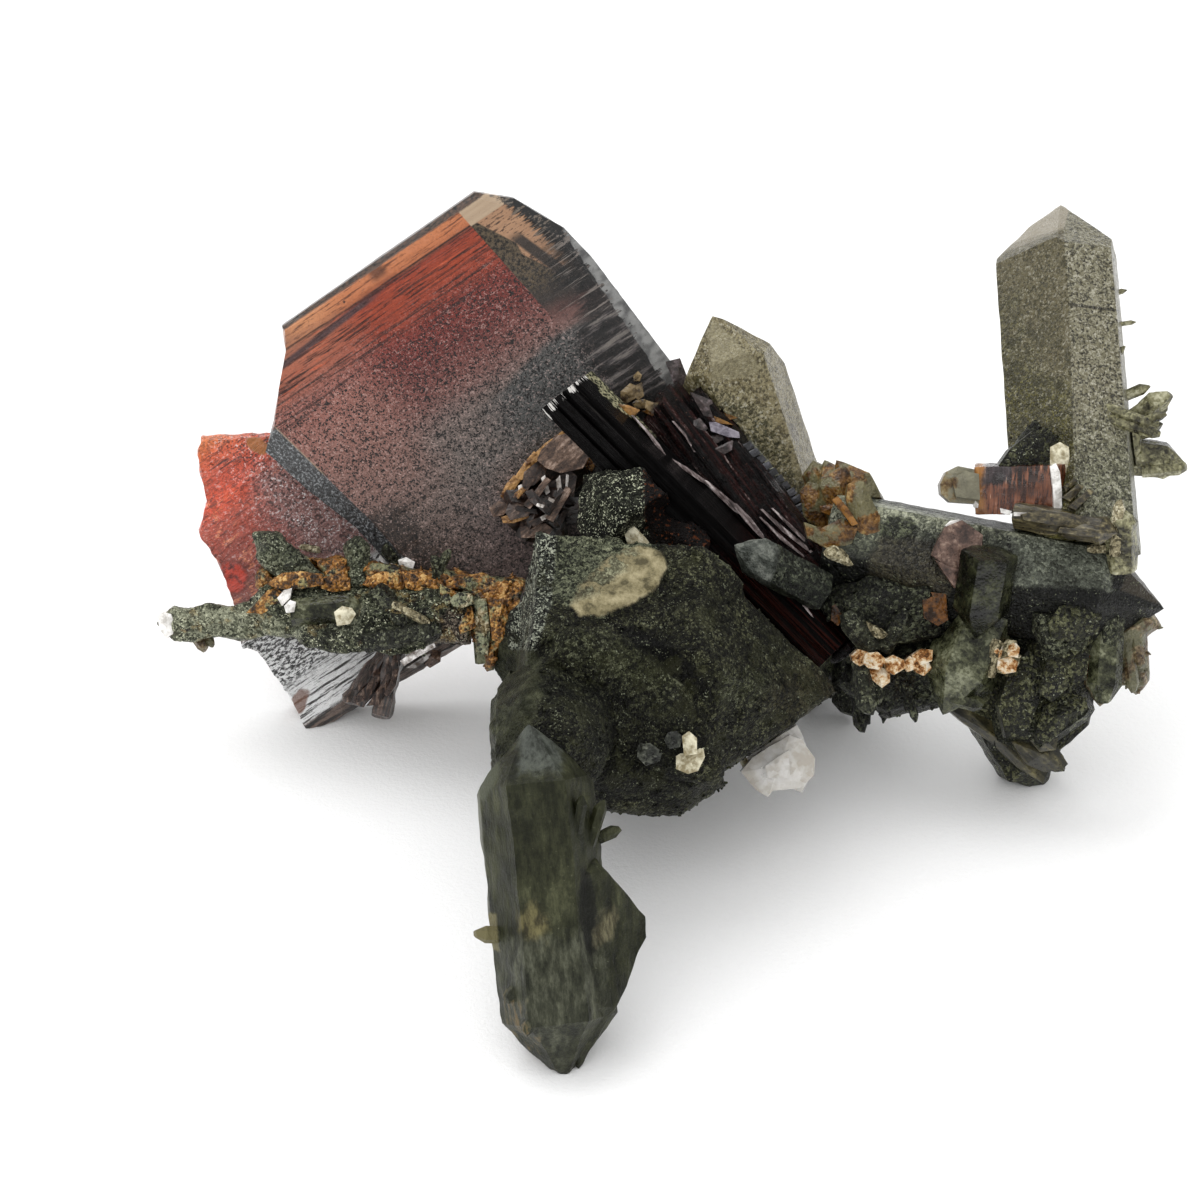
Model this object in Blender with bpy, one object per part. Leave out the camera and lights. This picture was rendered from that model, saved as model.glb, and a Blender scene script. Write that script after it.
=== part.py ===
"""Brookite on quartz: tabular brookite crystals on a cluster of chlorite-green quartz points.

Metres, +Z up. The specimen stands on four natural feet: the tips of the front leg, of the right leg
and of a crystal at the back, and the lower corner of the lower brookite plate. Its places are given
in millimetres in the specimen's own axes (x to the right, y away from the viewer, z up), and one
empty carries all of it, so that the base of its bounding box is centred on the origin.
"""

import math
from itertools import combinations

import bmesh
import bpy
from mathutils import Matrix, Vector

MM = 0.001
GAP = 0.3  # clearance between neighbouring crystals

# The specimen
BOX_CENTRE = (4.15, 3.13)  # x and y of the middle of the specimen's bounding box
FOOT_LEVEL = 0.0  # the feet are worn flat at this height

# The tabular brookite
PLATE_PLACE = (-9.8, 17.5, 20.0)  # middle of the main plate's front face
PLATE_LEAN = 25.0  # degrees that the plates lean back
PLATE_TURN = 4.0  # degrees that they turn to the right
C_AXIS_RISE = 32.0  # degrees that their c-axis rises to the right
MAIN_THICKNESS = 2.6
LOWER_THICKNESS = 2.2

# Quartz: the angle between the c-axis and the normal of a rhombohedral face
RHOMB_TILT = math.radians(51.8)

# Colour, roughness and transmission of each material
FINISHES = {
    "brookite_red": ((0.20, 0.055, 0.035), 0.25, 0.15),
    "brookite_dark": ((0.030, 0.022, 0.020), 0.22, 0.0),
    "brookite_brown": ((0.16, 0.075, 0.045), 0.25, 0.2),
    "quartz_green": ((0.075, 0.080, 0.055), 0.35, 0.1),
    "quartz_grey": ((0.30, 0.29, 0.22), 0.25, 0.3),
    "quartz_clear": ((0.80, 0.80, 0.76), 0.08, 0.85),
    "iron_stain": ((0.35, 0.16, 0.035), 0.6, 0.0),
    "feldspar": ((0.62, 0.45, 0.27), 0.55, 0.0),
}
QUARTZ_IOR = 1.54
BROOKITE_IOR = 2.58


def clear_scene():
    for obj in list(bpy.data.objects):
        bpy.data.objects.remove(obj)


def material(slot):
    """The Principled material of one finish, made once."""
    if slot in bpy.data.materials:
        return bpy.data.materials[slot]
    colour, roughness, transmission = FINISHES[slot]
    made = bpy.data.materials.new(slot)
    made.use_nodes = True
    shader = made.node_tree.nodes["Principled BSDF"]
    shader.inputs["Base Color"].default_value = (*colour, 1.0)
    shader.inputs["Roughness"].default_value = roughness
    shader.inputs["Transmission Weight"].default_value = transmission
    shader.inputs["IOR"].default_value = BROOKITE_IOR if slot.startswith("brookite") else QUARTZ_IOR
    made.diffuse_color = (*colour, 1.0)
    return made


def object_of(name, mesh, slot, place):
    """An object that shows this mesh, hanging on the specimen's empty."""
    mesh.materials.append(material(slot))
    obj = bpy.data.objects.new(name, mesh)
    bpy.context.scene.collection.objects.link(obj)
    obj.parent = bpy.data.objects["specimen"]
    obj.matrix_basis = place
    return obj


def mesh_of(name, corners, faces):
    mesh = bpy.data.meshes.new(name)
    mesh.from_pydata([Vector(corner) * MM for corner in corners], [], faces)
    return mesh


def hull_mesh(name, planes):
    """The convex solid inside a set of planes (normal, distance): its corners are where three meet."""
    corners = []
    for (n1, d1), (n2, d2), (n3, d3) in combinations(planes, 3):
        volume = n1.dot(n2.cross(n3))
        if abs(volume) < 1e-4:
            continue
        corner = (d1 * n2.cross(n3) + d2 * n3.cross(n1) + d3 * n1.cross(n2)) / volume
        if all(corner.dot(n) <= d + 1e-4 for n, d in planes):
            corners.append(corner * MM)
    shape = bmesh.new()
    for corner in corners:
        shape.verts.new(corner)
    bmesh.ops.remove_doubles(shape, verts=shape.verts, dist=0.002 * MM)
    hull = bmesh.ops.convex_hull(shape, input=shape.verts)
    bmesh.ops.delete(shape, geom=hull["geom_interior"] + hull["geom_unused"], context="VERTS")
    bmesh.ops.dissolve_limit(shape, angle_limit=0.002, verts=shape.verts, edges=shape.edges)
    bmesh.ops.recalc_face_normals(shape, faces=shape.faces)
    mesh = bpy.data.meshes.new(name)
    shape.to_mesh(mesh)
    shape.free()
    return mesh


def axis_frame(root, tip, turn):
    """The matrix that puts local Z from root to tip and local X towards the viewer, turned about Z."""
    root, tip = Vector(root), Vector(tip)
    axis = (tip - root).normalized()
    front = Vector((0, -1, 0)) - axis * -axis.y
    if front.length < 0.05:
        front = Vector((0, 0, 1)) - axis * axis.z
    front.normalize()
    side = axis.cross(front)
    basis = Matrix((front, side, axis)).transposed().to_4x4()
    return Matrix.Translation(root * MM) @ basis @ Matrix.Rotation(math.radians(turn), 4, "Z")


class Point:
    """A quartz point: a six-sided prism from root to tip with six rhombohedral faces at its tip.

    Face 0 looks to the viewer before the turn, and the rest follow at 60 degrees, counterclockwise
    seen from the tip. `sides` scales the distance of each prism face, and `drops` lowers each tip
    face by that many millimetres along the axis, so that it grows larger. A crystal with a second
    tip has `lifts`, which raise the faces of its root end in the same way.
    """

    def __init__(
        self, root, tip, width, turn=0.0, sides=(1.0,) * 6, drops=(0.0,) * 6, lifts=(), tilt=RHOMB_TILT
    ):
        self.place = axis_frame(root, tip, turn)
        length = (Vector(tip) - Vector(root)).length
        up = Vector((0, 0, 1))
        outward = [Vector((math.cos(math.radians(a)), math.sin(math.radians(a)), 0)) for a in range(0, 360, 60)]
        self.planes = [(-up, 0.0)]
        for out, side, drop in zip(outward, sides, drops):
            self.planes.append((out, 0.5 * width * side))
            slope = out * math.sin(tilt) + up * math.cos(tilt)
            self.planes.append((slope, (length - drop) * math.cos(tilt)))
        for out, lift in zip(outward, lifts):
            slope = out * math.sin(RHOMB_TILT) - up * math.cos(RHOMB_TILT)
            self.planes.append((slope, -lift * math.cos(RHOMB_TILT)))

    def mesh(self, name, grow=0.0):
        return hull_mesh(name, [(normal, distance + grow) for normal, distance in self.planes])


class Blade:
    """A flat crystal: a box from root to tip, `width` across and `thickness` deep, with bevelled ends."""

    def __init__(self, root, tip, width, thickness, turn=0.0, end_tilt=60.0, skew=0.0):
        self.place = axis_frame(root, tip, turn)
        length = (Vector(tip) - Vector(root)).length
        front, side, up = Vector((1, 0, 0)), Vector((0, 1, 0)), Vector((0, 0, 1))
        lean = math.radians(end_tilt)
        slant = math.radians(skew)
        self.planes = [
            (front, 0.5 * thickness),
            (-front, 0.5 * thickness),
            (side, 0.5 * width),
            (-side, 0.5 * width),
            (up * math.cos(slant) + side * math.sin(slant), length * math.cos(slant)),
            (up * math.sin(lean) + front * math.cos(lean), length * math.sin(lean)),
            (-up, 0.0),
        ]

    def mesh(self, name, grow=0.0):
        return hull_mesh(name, [(normal, distance + grow) for normal, distance in self.planes])


class Plate:
    """A tabular crystal: an outline of (u, v, flare) rows, u along the c-axis and v across it.

    The front face has the outline, and the rim behind the bevel is `flare` further out.
    """

    def __init__(self, outline, thickness, bevel, behind=0.0):
        lean = Matrix.Rotation(math.radians(90 - PLATE_LEAN), 4, "X")
        turn = Matrix.Rotation(math.radians(PLATE_TURN), 4, "Z")
        rise = Matrix.Rotation(math.radians(C_AXIS_RISE), 4, "Z")
        self.place = Matrix.Translation(Vector(PLATE_PLACE) * MM) @ turn @ lean @ rise
        self.outline = outline
        self.depths = (-behind, -behind - bevel, -behind - thickness)

    def mesh(self, name, grow=0.0):
        front, bevel, back = self.depths
        points = [Vector((u, v)) for u, v, _ in self.outline]
        count = len(points)
        rings = []
        for depth, flares in ((front + grow, False), (bevel, True), (back - grow, True)):
            for index, (point, row) in enumerate(zip(points, self.outline)):
                along = (points[(index + 1) % count] - points[index - 1]).normalized()
                out = Vector((along.y, -along.x))
                moved = point + out * (grow + (row[2] if flares else 0.0))
                rings.append((moved.x, moved.y, depth))
        faces = [tuple(range(count)), tuple(reversed(range(2 * count, 3 * count)))]
        for ring in (0, count):
            for index in range(count):
                after = (index + 1) % count
                faces.append((ring + index, ring + count + index, ring + count + after, ring + after))
        return mesh_of(name, rings, faces)


class Ribbed:
    """A striated bar: a cross-section with ribs on its viewer side, drawn from root to tip."""

    def __init__(self, root, tip, ribs, depth, turn=0.0, skew=0.0):
        self.place = axis_frame(root, tip, turn)
        self.length = (Vector(tip) - Vector(root)).length
        self.ribs = ribs
        self.depth = depth
        self.skew = math.tan(math.radians(skew))

    def section(self, grow):
        """(across, out) points: two for each rib of (width, height), then the flat back."""
        start = -0.5 * sum(width for width, _ in self.ribs)
        points = [(start - grow, -0.5 * self.depth - grow)]
        across = start
        for number, (width, height) in enumerate(self.ribs):
            first, last = number == 0, number == len(self.ribs) - 1
            points.append((across - (grow if first else 0.0), 0.5 * self.depth + height + grow))
            across += width
            points.append((across + (grow if last else 0.0), 0.5 * self.depth + height + grow))
        points.append((across + grow, -0.5 * self.depth - grow))
        return points

    def mesh(self, name, grow=0.0):
        section = self.section(grow)
        count = len(section)
        corners = [(out, across, -grow) for across, out in section]
        corners += [(out, across, self.length + grow + self.skew * across) for across, out in section]
        faces = [tuple(reversed(range(count))), tuple(range(count, 2 * count))]
        for index in range(count):
            after = (index + 1) % count
            faces.append((index, after, count + after, count + index))
        return mesh_of(name, corners, faces)


MAIN_PLATE = Plate(
    [
        (-5.5, 8.8, 0.3),
        (-6.2, 7.7, 0.0),
        (-7.6, 6.3, 0.0),
        (-9.3, 4.4, 0.1),
        (-9.15, 3.6, 1.6),
        (-8.5, 0.3, 1.5),
        (-7.7, -3.6, 1.1),
        (-7.1, -7.5, 1.2),
        (-6.7, -9.0, 0.8),
        (-3.0, -12.6, 0.4),
        (4.0, -13.4, 0.4),
        (11.8, -12.0, 0.6),
        (12.2, -6.5, 0.9),
        (11.9, -1.5, 0.9),
        (11.8, 2.0, 0.8),
        (11.5, 4.2, 0.7),
        (10.2, 7.4, 0.5),
        (8.8, 8.9, 0.4),
    ],
    MAIN_THICKNESS,
    0.9,
)

LOWER_PLATE = Plate(
    [
        (-9.9, 3.6, 0.0),
        (-13.8, 5.9, 0.1),
        (-14.6, 5.2, 0.0),
        (-15.7, 2.5, 0.0),
        (-17.2, 1.3, 0.0),
        (-17.3, -1.2, 0.0),
        (-18.0, -3.8, 0.0),
        (-19.1, -6.3, 0.0),
        (-18.4, -7.0, 0.0),
        (-18.4, -10.6, 0.0),
        (-18.8, -13.2, 0.1),
        (-12.5, -13.2, 0.4),
        (-7.3, -13.6, 0.4),
        (2.0, -14.0, 0.4),
        (9.0, -8.0, 0.3),
        (4.0, 3.0, 0.3),
    ],
    LOWER_THICKNESS,
    0.8,
    behind=MAIN_THICKNESS + GAP,
)

# Each node: its material, and the crystals that have grown into one solid. A node is cut back by
# GAP from every node above it in the list that it meets.
NODES = {
    "brookite_main_plate": ("brookite_red", [MAIN_PLATE]),
    "brookite_lower_plate": ("brookite_red", [LOWER_PLATE]),
    "brookite_striated_prism": (
        "brookite_dark",
        [
            Ribbed(
                (13.9, 5.5, 9.3),
                (-2.0, 15.3, 22.0),
                [(0.4, 0.0), (0.45, 0.35), (0.4, 0.1), (0.5, 0.5), (0.4, 0.2), (0.45, 0.4), (0.4, 0.1)],
                2.4,
                skew=-8,
            ),
        ],
    ),
    "brookite_blade_bundle": (
        "brookite_dark",
        [
            Blade((15.2, 6.6, 9.0), (3.6, 16.8, 20.6), 1.9, 2.2, turn=-20),
            Blade((14.2, 7.8, 11.9), (5.4, 17.3, 20.1), 2.0, 1.8, turn=15),
            Blade((12.6, 9.6, 13.9), (6.9, 16.5, 19.2), 1.5, 1.4, turn=5),
        ],
    ),
    "brookite_small_crystal": (
        "brookite_brown",
        [Blade((22.6, 10.0, 18.3), (28.0, 9.4, 18.8), 2.7, 1.8, turn=-25, end_tilt=55)],
    ),
    "brookite_pink_flake": (
        "brookite_brown",
        [Blade((21.6, 4.6, 14.6), (21.2, 7.8, 17.6), 2.6, 0.5, turn=10, end_tilt=70, skew=25)],
    ),
    "brookite_flake_cluster": (
        "brookite_brown",
        [
            Blade((-5.6, 13.4, 13.8), (-1.2, 14.6, 17.6), 2.4, 0.5, turn=15, skew=20),
            Blade((-1.4, 12.8, 15.0), (-5.6, 13.0, 15.4), 2.2, 0.7, turn=-35, skew=-20),
            Blade((-4.4, 12.8, 13.0), (-3.4, 13.0, 16.2), 1.2, 0.8, turn=40),
            Blade((-2.6, 12.6, 13.2), (-3.0, 12.8, 16.4), 0.9, 0.7, turn=-20),
        ],
    ),
    "brookite_blade_fan": (
        "brookite_brown",
        [
            Blade((-12.6, 10.2, 6.4), (-13.6, 9.2, 2.1), 0.9, 1.4, turn=10),
            Blade((-12.9, 10.2, 6.4), (-15.4, 9.8, 2.7), 0.9, 1.1, turn=-15),
        ],
    ),
    "quartz_central_mass": (
        "quartz_green",
        [
            Point((-4.4, 0.5, 13.2), (17.2, 0.5, 10.8), 12.7, turn=-11, drops=(2.5, 2, 1.5, 0, 4, 4)),
            Point((2.2, -1.0, 11.6), (-0.2, 7.5, 19.2), 7.6, turn=35, drops=(2, 2, 1, 1, 2, 3)),
            Point((-1.5, -1.5, 12.8), (-4.3, -12.5, 13.4), 5.0, turn=20),
            Point((-4.6, -6.5, 11.3), (6.8, -3.5, 7.2), 3.8, turn=10),
        ],
    ),
    "quartz_front_leg": (
        "quartz_green",
        [
            Point((-4.0, -11.0, 16.4), (-2.0, -21.9, -0.4), 5.4, turn=-6, lifts=(0, 0, 0.5, 0.5, 0.5, 0)),
            Point(
                (-2.3, -13.9, 11.8),
                (-1.2, -21.5, 0.1),
                8.6,
                turn=24,
                sides=(0.3, 0.2, 0.3, 0.6, 1.0, 0.5),
                lifts=(0, 0, 0, 0, 0.5, 0.5),
                tilt=math.radians(58),
            ),
        ],
    ),
    "quartz_long_point": (
        "quartz_green",
        [Point((14.0, 10.2, 14.2), (33.6, 5.5, 12.7), 5.9, turn=6)],
    ),
    "quartz_rear_point": (
        "quartz_grey",
        [
            Point(
                (12.2, 15.8, 8.6),
                (6.6, 20.6, 24.8),
                6.8,
                turn=20,
                sides=(0.7, 0.8, 1.0, 1.0, 1.15, 0.8),
                drops=(0, 0, 1.0, 1.0, 1.0, 0),
            )
        ],
    ),
    "quartz_upright_point": (
        "quartz_grey",
        [
            Point(
                (29.3, 8.2, 14.8),
                (28.9, 28.7, 27.4),
                8.0,
                turn=18,
                sides=(1.0, 0.76, 0.53, 0.8, 1.0, 0.9),
                drops=(0, 0, 0, 0, -1.2, 0),
            )
        ],
    ),
    "quartz_dark_splinter": (
        "quartz_green",
        [Point((13.6, 11.4, 12.6), (7.5, 17.5, 18.1), 1.4, turn=10)],
    ),
    "quartz_dark_wedge": (
        "quartz_green",
        [Point((26.5, 10.9, 17.2), (26.2, 13.2, 21.2), 5.0, turn=25)],
    ),
    "quartz_amber_tip": (
        "iron_stain",
        [Point((23.2, 9.9, 18.5), (20.4, 10.2, 18.4), 2.0, turn=10)],
    ),
    "quartz_foot_bar": (
        "quartz_grey",
        [Point((25.0, 8.2, 17.6), (30.4, 5.2, 18.3), 1.3, turn=10)],
    ),
    "quartz_foot_column": (
        "quartz_grey",
        [Point((31.0, 5.4, 15.6), (30.8, 6.4, 19.2), 1.4)],
    ),
    "quartz_side_spray": (
        "quartz_grey",
        [
            Point((30.6, 14.6, 18.0), (35.7, 14.0, 17.6), 2.0, turn=10),
            Point((31.2, 14.2, 18.0), (32.8, 15.0, 20.3), 2.5),
            Point((31.0, 14.8, 19.0), (34.2, 15.0, 19.8), 1.1, turn=15),
            Point((31.8, 15.0, 18.6), (34.7, 17.0, 20.9), 1.5),
        ],
    ),
    "quartz_stained_cluster": (
        "iron_stain",
        [
            Point((16.2, 10.5, 12.8), (13.8, 15.0, 17.1), 2.5, turn=10),
            Point((17.4, 10.0, 13.2), (14.5, 14.5, 17.4), 2.7, turn=-15),
            Point((14.2, 11.5, 12.6), (13.1, 15.5, 16.8), 1.3),
        ],
    ),
    "quartz_across_blades": (
        "quartz_grey",
        [Point((13.2, 6.2, 13.4), (8.1, 6.0, 16.8), 2.0, turn=12)],
    ),
    "quartz_cluster_bed": (
        "quartz_green",
        [
            Point((22.4, 8.2, 12.2), (12.6, 6.6, 11.8), 5.2, turn=10),
            Point((20.8, 8.0, 11.6), (31.9, 6.2, 10.8), 4.6, turn=5),
        ],
    ),
    "quartz_front_column": (
        "quartz_green",
        [Point((23.0, 4.8, 17.0), (22.4, 3.6, 12.0), 2.7)],
    ),
    "quartz_lower_bed": (
        "quartz_green",
        [Point((21.6, 6.8, 7.5), (14.2, 5.8, 6.9), 4.4, turn=15)],
    ),
    "quartz_back_mass": (
        "quartz_green",
        [
            Point((-3.0, 4.5, 8.5), (5.5, 14.5, 8.0), 8.0, turn=10),
            Point((4.0, 9.0, 8.5), (18.5, 15.0, 9.5), 7.4, turn=5),
            Point((10.5, 10.5, 9.5), (14.5, 17.8, -0.4), 5.4, turn=15),
        ],
    ),
    "quartz_grey_knob": (
        "quartz_grey",
        [Point((23.4, 6.6, 12.2), (20.6, 2.3, 7.3), 3.7, turn=15)],
    ),
    "quartz_right_leg": (
        "quartz_green",
        [
            Point((21.2, 7.8, 9.2), (27.4, 5.2, -0.5), 3.4, turn=5),
            Point((28.9, 6.0, 12.4), (25.2, 3.5, 3.8), 4.5, turn=20),
            Point((26.4, 4.0, 3.5), (29.8, 5.0, 6.6), 2.1),
        ],
    ),
    "quartz_rusty_points": (
        "iron_stain",
        [
            Point((30.2, 5.6, 12.6), (30.1, 3.4, 7.1), 2.6, turn=10),
            Point((31.9, 5.2, 11.8), (32.3, 4.0, 7.5), 1.3),
            Point((30.6, 6.0, 11.6), (33.7, 6.0, 11.1), 1.6, turn=20),
        ],
    ),
    "quartz_left_bar": (
        "quartz_green",
        [Point((-20.4, 11.0, 8.1), (-27.4, 11.0, 7.8), 1.9, turn=5)],
    ),
    "quartz_left_cluster": (
        "quartz_green",
        [
            Point((-8.0, 9.0, 9.6), (-22.2, 11.2, 8.7), 2.9, turn=12),
            Point((-10.6, 8.4, 8.4), (-19.2, 9.5, 8.5), 1.9),
        ],
    ),
    "quartz_rounded_crystal": (
        "quartz_green",
        [Point((-17.6, 11.4, 10.2), (-21.3, 13.5, 12.8), 1.9)],
    ),
    "quartz_upright_stub": (
        "quartz_green",
        [Point((-14.8, 10.8, 9.6), (-14.9, 13.4, 12.8), 1.2)],
    ),
    "quartz_clear_points": (
        "quartz_clear",
        [
            Point((10.4, 0.0, 7.6), (12.0, -1.6, 4.3), 2.4, turn=10),
            Point((9.4, 0.0, 6.8), (10.0, -1.5, 4.0), 1.4),
        ],
    ),
    "quartz_granular_patch": (
        "quartz_green",
        [
            Point((2.4, 8.5, 16.2), (-2.3, 13.8, 18.4), 5.1, turn=8, drops=(2, 2, 2, 2, 2, 2)),
            Point((6.0, 8.0, 14.4), (1.0, 10.0, 16.2), 3.4, turn=20),
        ],
    ),
    "stained_matrix": (
        "iron_stain",
        [
            Point((-4.8, 10.0, 9.9), (-21.5, 13.0, 10.1), 2.8),
            Point((-5.6, 7.6, 7.4), (-7.4, 11.6, 10.4), 2.6),
        ],
    ),
    "feldspar_lumps": (
        "feldspar",
        [
            Blade((14.9, 4.4, 9.3), (20.2, 4.4, 9.3), 1.7, 1.6),
        ],
    ),
    "feldspar_lump_right": (
        "feldspar",
        [Blade((22.8, 3.9, 10.2), (25.0, 3.9, 10.3), 1.7, 1.6)],
    ),
}


def specimen_empty():
    empty = bpy.data.objects.new("specimen", None)
    bpy.context.scene.collection.objects.link(empty)
    x, y = BOX_CENTRE
    empty.location = Vector((-x, -y, -FOOT_LEVEL)) * MM
    return empty


def helper(name, mesh, place):
    obj = object_of(name, mesh, "quartz_clear", place)
    obj.hide_render = True
    obj.display_type = "WIRE"
    return obj


def boolean(obj, other, operation):
    modifier = obj.modifiers.new(other.name, "BOOLEAN")
    modifier.operation = operation
    modifier.object = other
    modifier.solver = "EXACT"


def reach(obj):
    """Lowest and highest corner of an object's own mesh, in the specimen's axes."""
    corners = [obj.matrix_basis @ vertex.co for vertex in obj.data.vertices]
    low = Vector([min(corner[axis] for corner in corners) for axis in range(3)])
    high = Vector([max(corner[axis] for corner in corners) for axis in range(3)])
    return low, high


def meet(first, second):
    (low_a, high_a), (low_b, high_b) = reach(first), reach(second)
    return all(low_a[axis] <= high_b[axis] and low_b[axis] <= high_a[axis] for axis in range(3))


def ground_cutter():
    """A block under the feet, which wears each tip that passes the ground level."""
    size = 60
    square = ((-size, -size), (size, -size), (size, size), (-size, size))
    corners = [(x, y, z) for z in (-size, FOOT_LEVEL) for x, y in square]
    faces = [(3, 2, 1, 0), (4, 5, 6, 7), (0, 1, 5, 4), (1, 2, 6, 5), (2, 3, 7, 6), (3, 0, 4, 7)]
    return helper("ground", mesh_of("ground", corners, faces), Matrix())


def build():
    clear_scene()
    specimen_empty()
    ground = ground_cutter()
    cutters = []
    for name, (slot, crystals) in NODES.items():
        first, *others = crystals
        obj = object_of(name, first.mesh(name), slot, first.place)
        parts = [obj]
        for number, crystal in enumerate(others):
            grown = helper(f"{name}_joined_{number}", crystal.mesh(name), crystal.place)
            boolean(obj, grown, "UNION")
            parts.append(grown)
        for cutter in cutters:
            if any(meet(part, cutter) for part in parts):
                boolean(obj, cutter, "DIFFERENCE")
        if any(reach(part)[0].z < FOOT_LEVEL * MM for part in parts):
            boolean(obj, ground, "DIFFERENCE")
        for number, crystal in enumerate(crystals):
            grown = crystal.mesh(f"{name}_room", GAP)
            cutters.append(helper(f"{name}_room_{number}", grown, crystal.place))


build()
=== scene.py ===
import math
import random
from collections import namedtuple

import bmesh
import bpy
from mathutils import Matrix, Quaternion, Vector, noise
from mathutils.bvhtree import BVHTree


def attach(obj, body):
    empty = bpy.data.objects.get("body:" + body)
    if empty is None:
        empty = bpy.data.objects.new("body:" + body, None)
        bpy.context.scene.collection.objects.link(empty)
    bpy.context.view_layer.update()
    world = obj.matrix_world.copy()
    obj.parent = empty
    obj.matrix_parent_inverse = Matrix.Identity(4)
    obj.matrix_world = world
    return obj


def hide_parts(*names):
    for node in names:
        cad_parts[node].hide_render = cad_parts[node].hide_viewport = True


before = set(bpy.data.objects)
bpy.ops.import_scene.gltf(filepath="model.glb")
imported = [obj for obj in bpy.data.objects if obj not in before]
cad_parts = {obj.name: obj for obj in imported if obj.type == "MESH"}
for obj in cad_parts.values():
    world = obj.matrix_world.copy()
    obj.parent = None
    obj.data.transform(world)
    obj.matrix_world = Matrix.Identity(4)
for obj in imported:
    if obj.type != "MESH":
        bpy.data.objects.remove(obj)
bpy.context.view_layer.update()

MM = 0.001
MIDDLE = Vector((4.15, 3.13, 0.0))  # middle of the specimen's box, in its own axes and millimetres

# The tabular brookite: the middle of the main face, and its directions along and across the c-axis
PLATE = Vector((-9.8, 17.5, 20.0))
PLATE_U = Vector((0.8304, 0.2826, 0.4803))
PLATE_V = Vector((-0.5536, 0.3206, 0.7686))
PLATE_N = Vector((0.0632, -0.9041, 0.4226))

QUARTZ_IOR = 1.54
BROOKITE_IOR = 2.0
PAPER_IOR = 1.5

# The camera, in millimetres and specimen axes
PICTURE = 1200  # picture places are in pixels of a square this wide, from its upper left corner
VIEW_HEIGHT = 17.0
VIEW_DISTANCE = 220.0
VIEW_WIDTH = 69.6  # across the picture at that distance
VIEW_ELEVATION = math.radians(34)
BACK = Vector((0, -math.cos(VIEW_ELEVATION), math.sin(VIEW_ELEVATION)))
UP = Vector((0, math.sin(VIEW_ELEVATION), math.cos(VIEW_ELEVATION)))
EYE = Vector((0, 0, VIEW_HEIGHT)) + BACK * VIEW_DISTANCE


# Places in the picture


def sight(x, y):
    """Direction from the camera through a place in the picture."""
    scale = VIEW_WIDTH / PICTURE
    across = (x - PICTURE / 2) * scale
    upward = (PICTURE / 2 - y) * scale
    return (Vector((across, 0, 0)) + UP * upward - BACK * VIEW_DISTANCE).normalized()


def outline(text):
    """Places in the picture from a text such as "520,300 560,310"."""
    return [tuple(float(part) for part in pair.split(",")) for pair in text.split()]


def solids_tree():
    """All the CAD solids, for rays and nearest places."""
    corners, faces = [], []
    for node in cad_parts.values():
        start = len(corners)
        corners += [vertex.co / MM + MIDDLE for vertex in node.data.vertices]
        faces += [[start + index for index in face.vertices] for face in node.data.polygons]
    return BVHTree.FromPolygons(corners, faces)


SOLIDS = solids_tree()
OFFSETS = range(-30, 31, 2)  # in millimetres, from the middle of the view, where a ray that misses is tried


def seen(x, y):
    """The place on the CAD solids that the picture shows at x, y, or the nearest one beside it."""
    ray = sight(x, y)
    hit = SOLIDS.ray_cast(EYE, ray)[0]
    if hit is None:
        beside = [SOLIDS.find_nearest(EYE + ray * (VIEW_DISTANCE + offset)) for offset in OFFSETS]
        hit = min(beside, key=lambda found: found[3])[0]
    return hit


def level_with(place, x, y, toward):
    """The place seen at x, y that is as far back as another, or nearer to the camera by that much."""
    ray = sight(x, y)
    return EYE + ray * ((place + BACK * toward - EYE).dot(BACK) / ray.dot(BACK))


def in_picture(place):
    """Where a place is seen in the picture."""
    ray = Vector(place) - EYE
    scale = PICTURE / VIEW_WIDTH * VIEW_DISTANCE / -ray.dot(BACK)
    return Vector((PICTURE / 2 + ray.x * scale, PICTURE / 2 - ray.dot(UP) * scale))


def sides(corners):
    """The sides of an outline, each as its two ends."""
    return list(zip(corners, corners[1:] + corners[:1]))


def depth_inside(corners, spot):
    """How far in pixels a spot is inside an outline; negative outside."""
    nearest = min((spot - on_side(spot, Vector(a), Vector(b))).length for a, b in sides(corners))
    crossings = 0
    for (x0, y0), (x1, y1) in sides(corners):
        if (y0 > spot.y) != (y1 > spot.y) and spot.x < x0 + (spot.y - y0) / (y1 - y0) * (x1 - x0):
            crossings += 1
    return nearest if crossings % 2 else -nearest


def on_side(spot, a, b):
    """The place on the line from a to b that is nearest to a spot."""
    share = (spot - a).dot(b - a) / (b - a).length_squared
    return a + (b - a) * min(max(share, 0.0), 1.0)


# A patch of colour: its middle in the picture, half its length and width in millimetres, and the
# angle of its length in degrees, anticlockwise from the picture's horizontal
Patch = namedtuple("Patch", "x y length width angle")

# A small crystal: the places in the picture where it grows and ends, its width in millimetres, how
# much nearer to the camera its end is than its foot, its thickness as a share of the width, and how
# blunt its end is
Growth = namedtuple("Growth", "line width toward flat blunt", defaults=(1.0, 0.2))


# Materials

BRIGHTEST = 0.92  # the most light, linear, that any colour here gives back


def rgb(code, gain):
    """Linear colour of a six-digit sRGB code."""
    parts = [int(code[index : index + 2], 16) / 255 for index in (0, 2, 4)]
    linear = (c / 12.92 if c <= 0.04045 else ((c + 0.055) / 1.055) ** 2.4 for c in parts)
    return tuple(min(c * gain, BRIGHTEST) for c in linear) + (1.0,)


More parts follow.
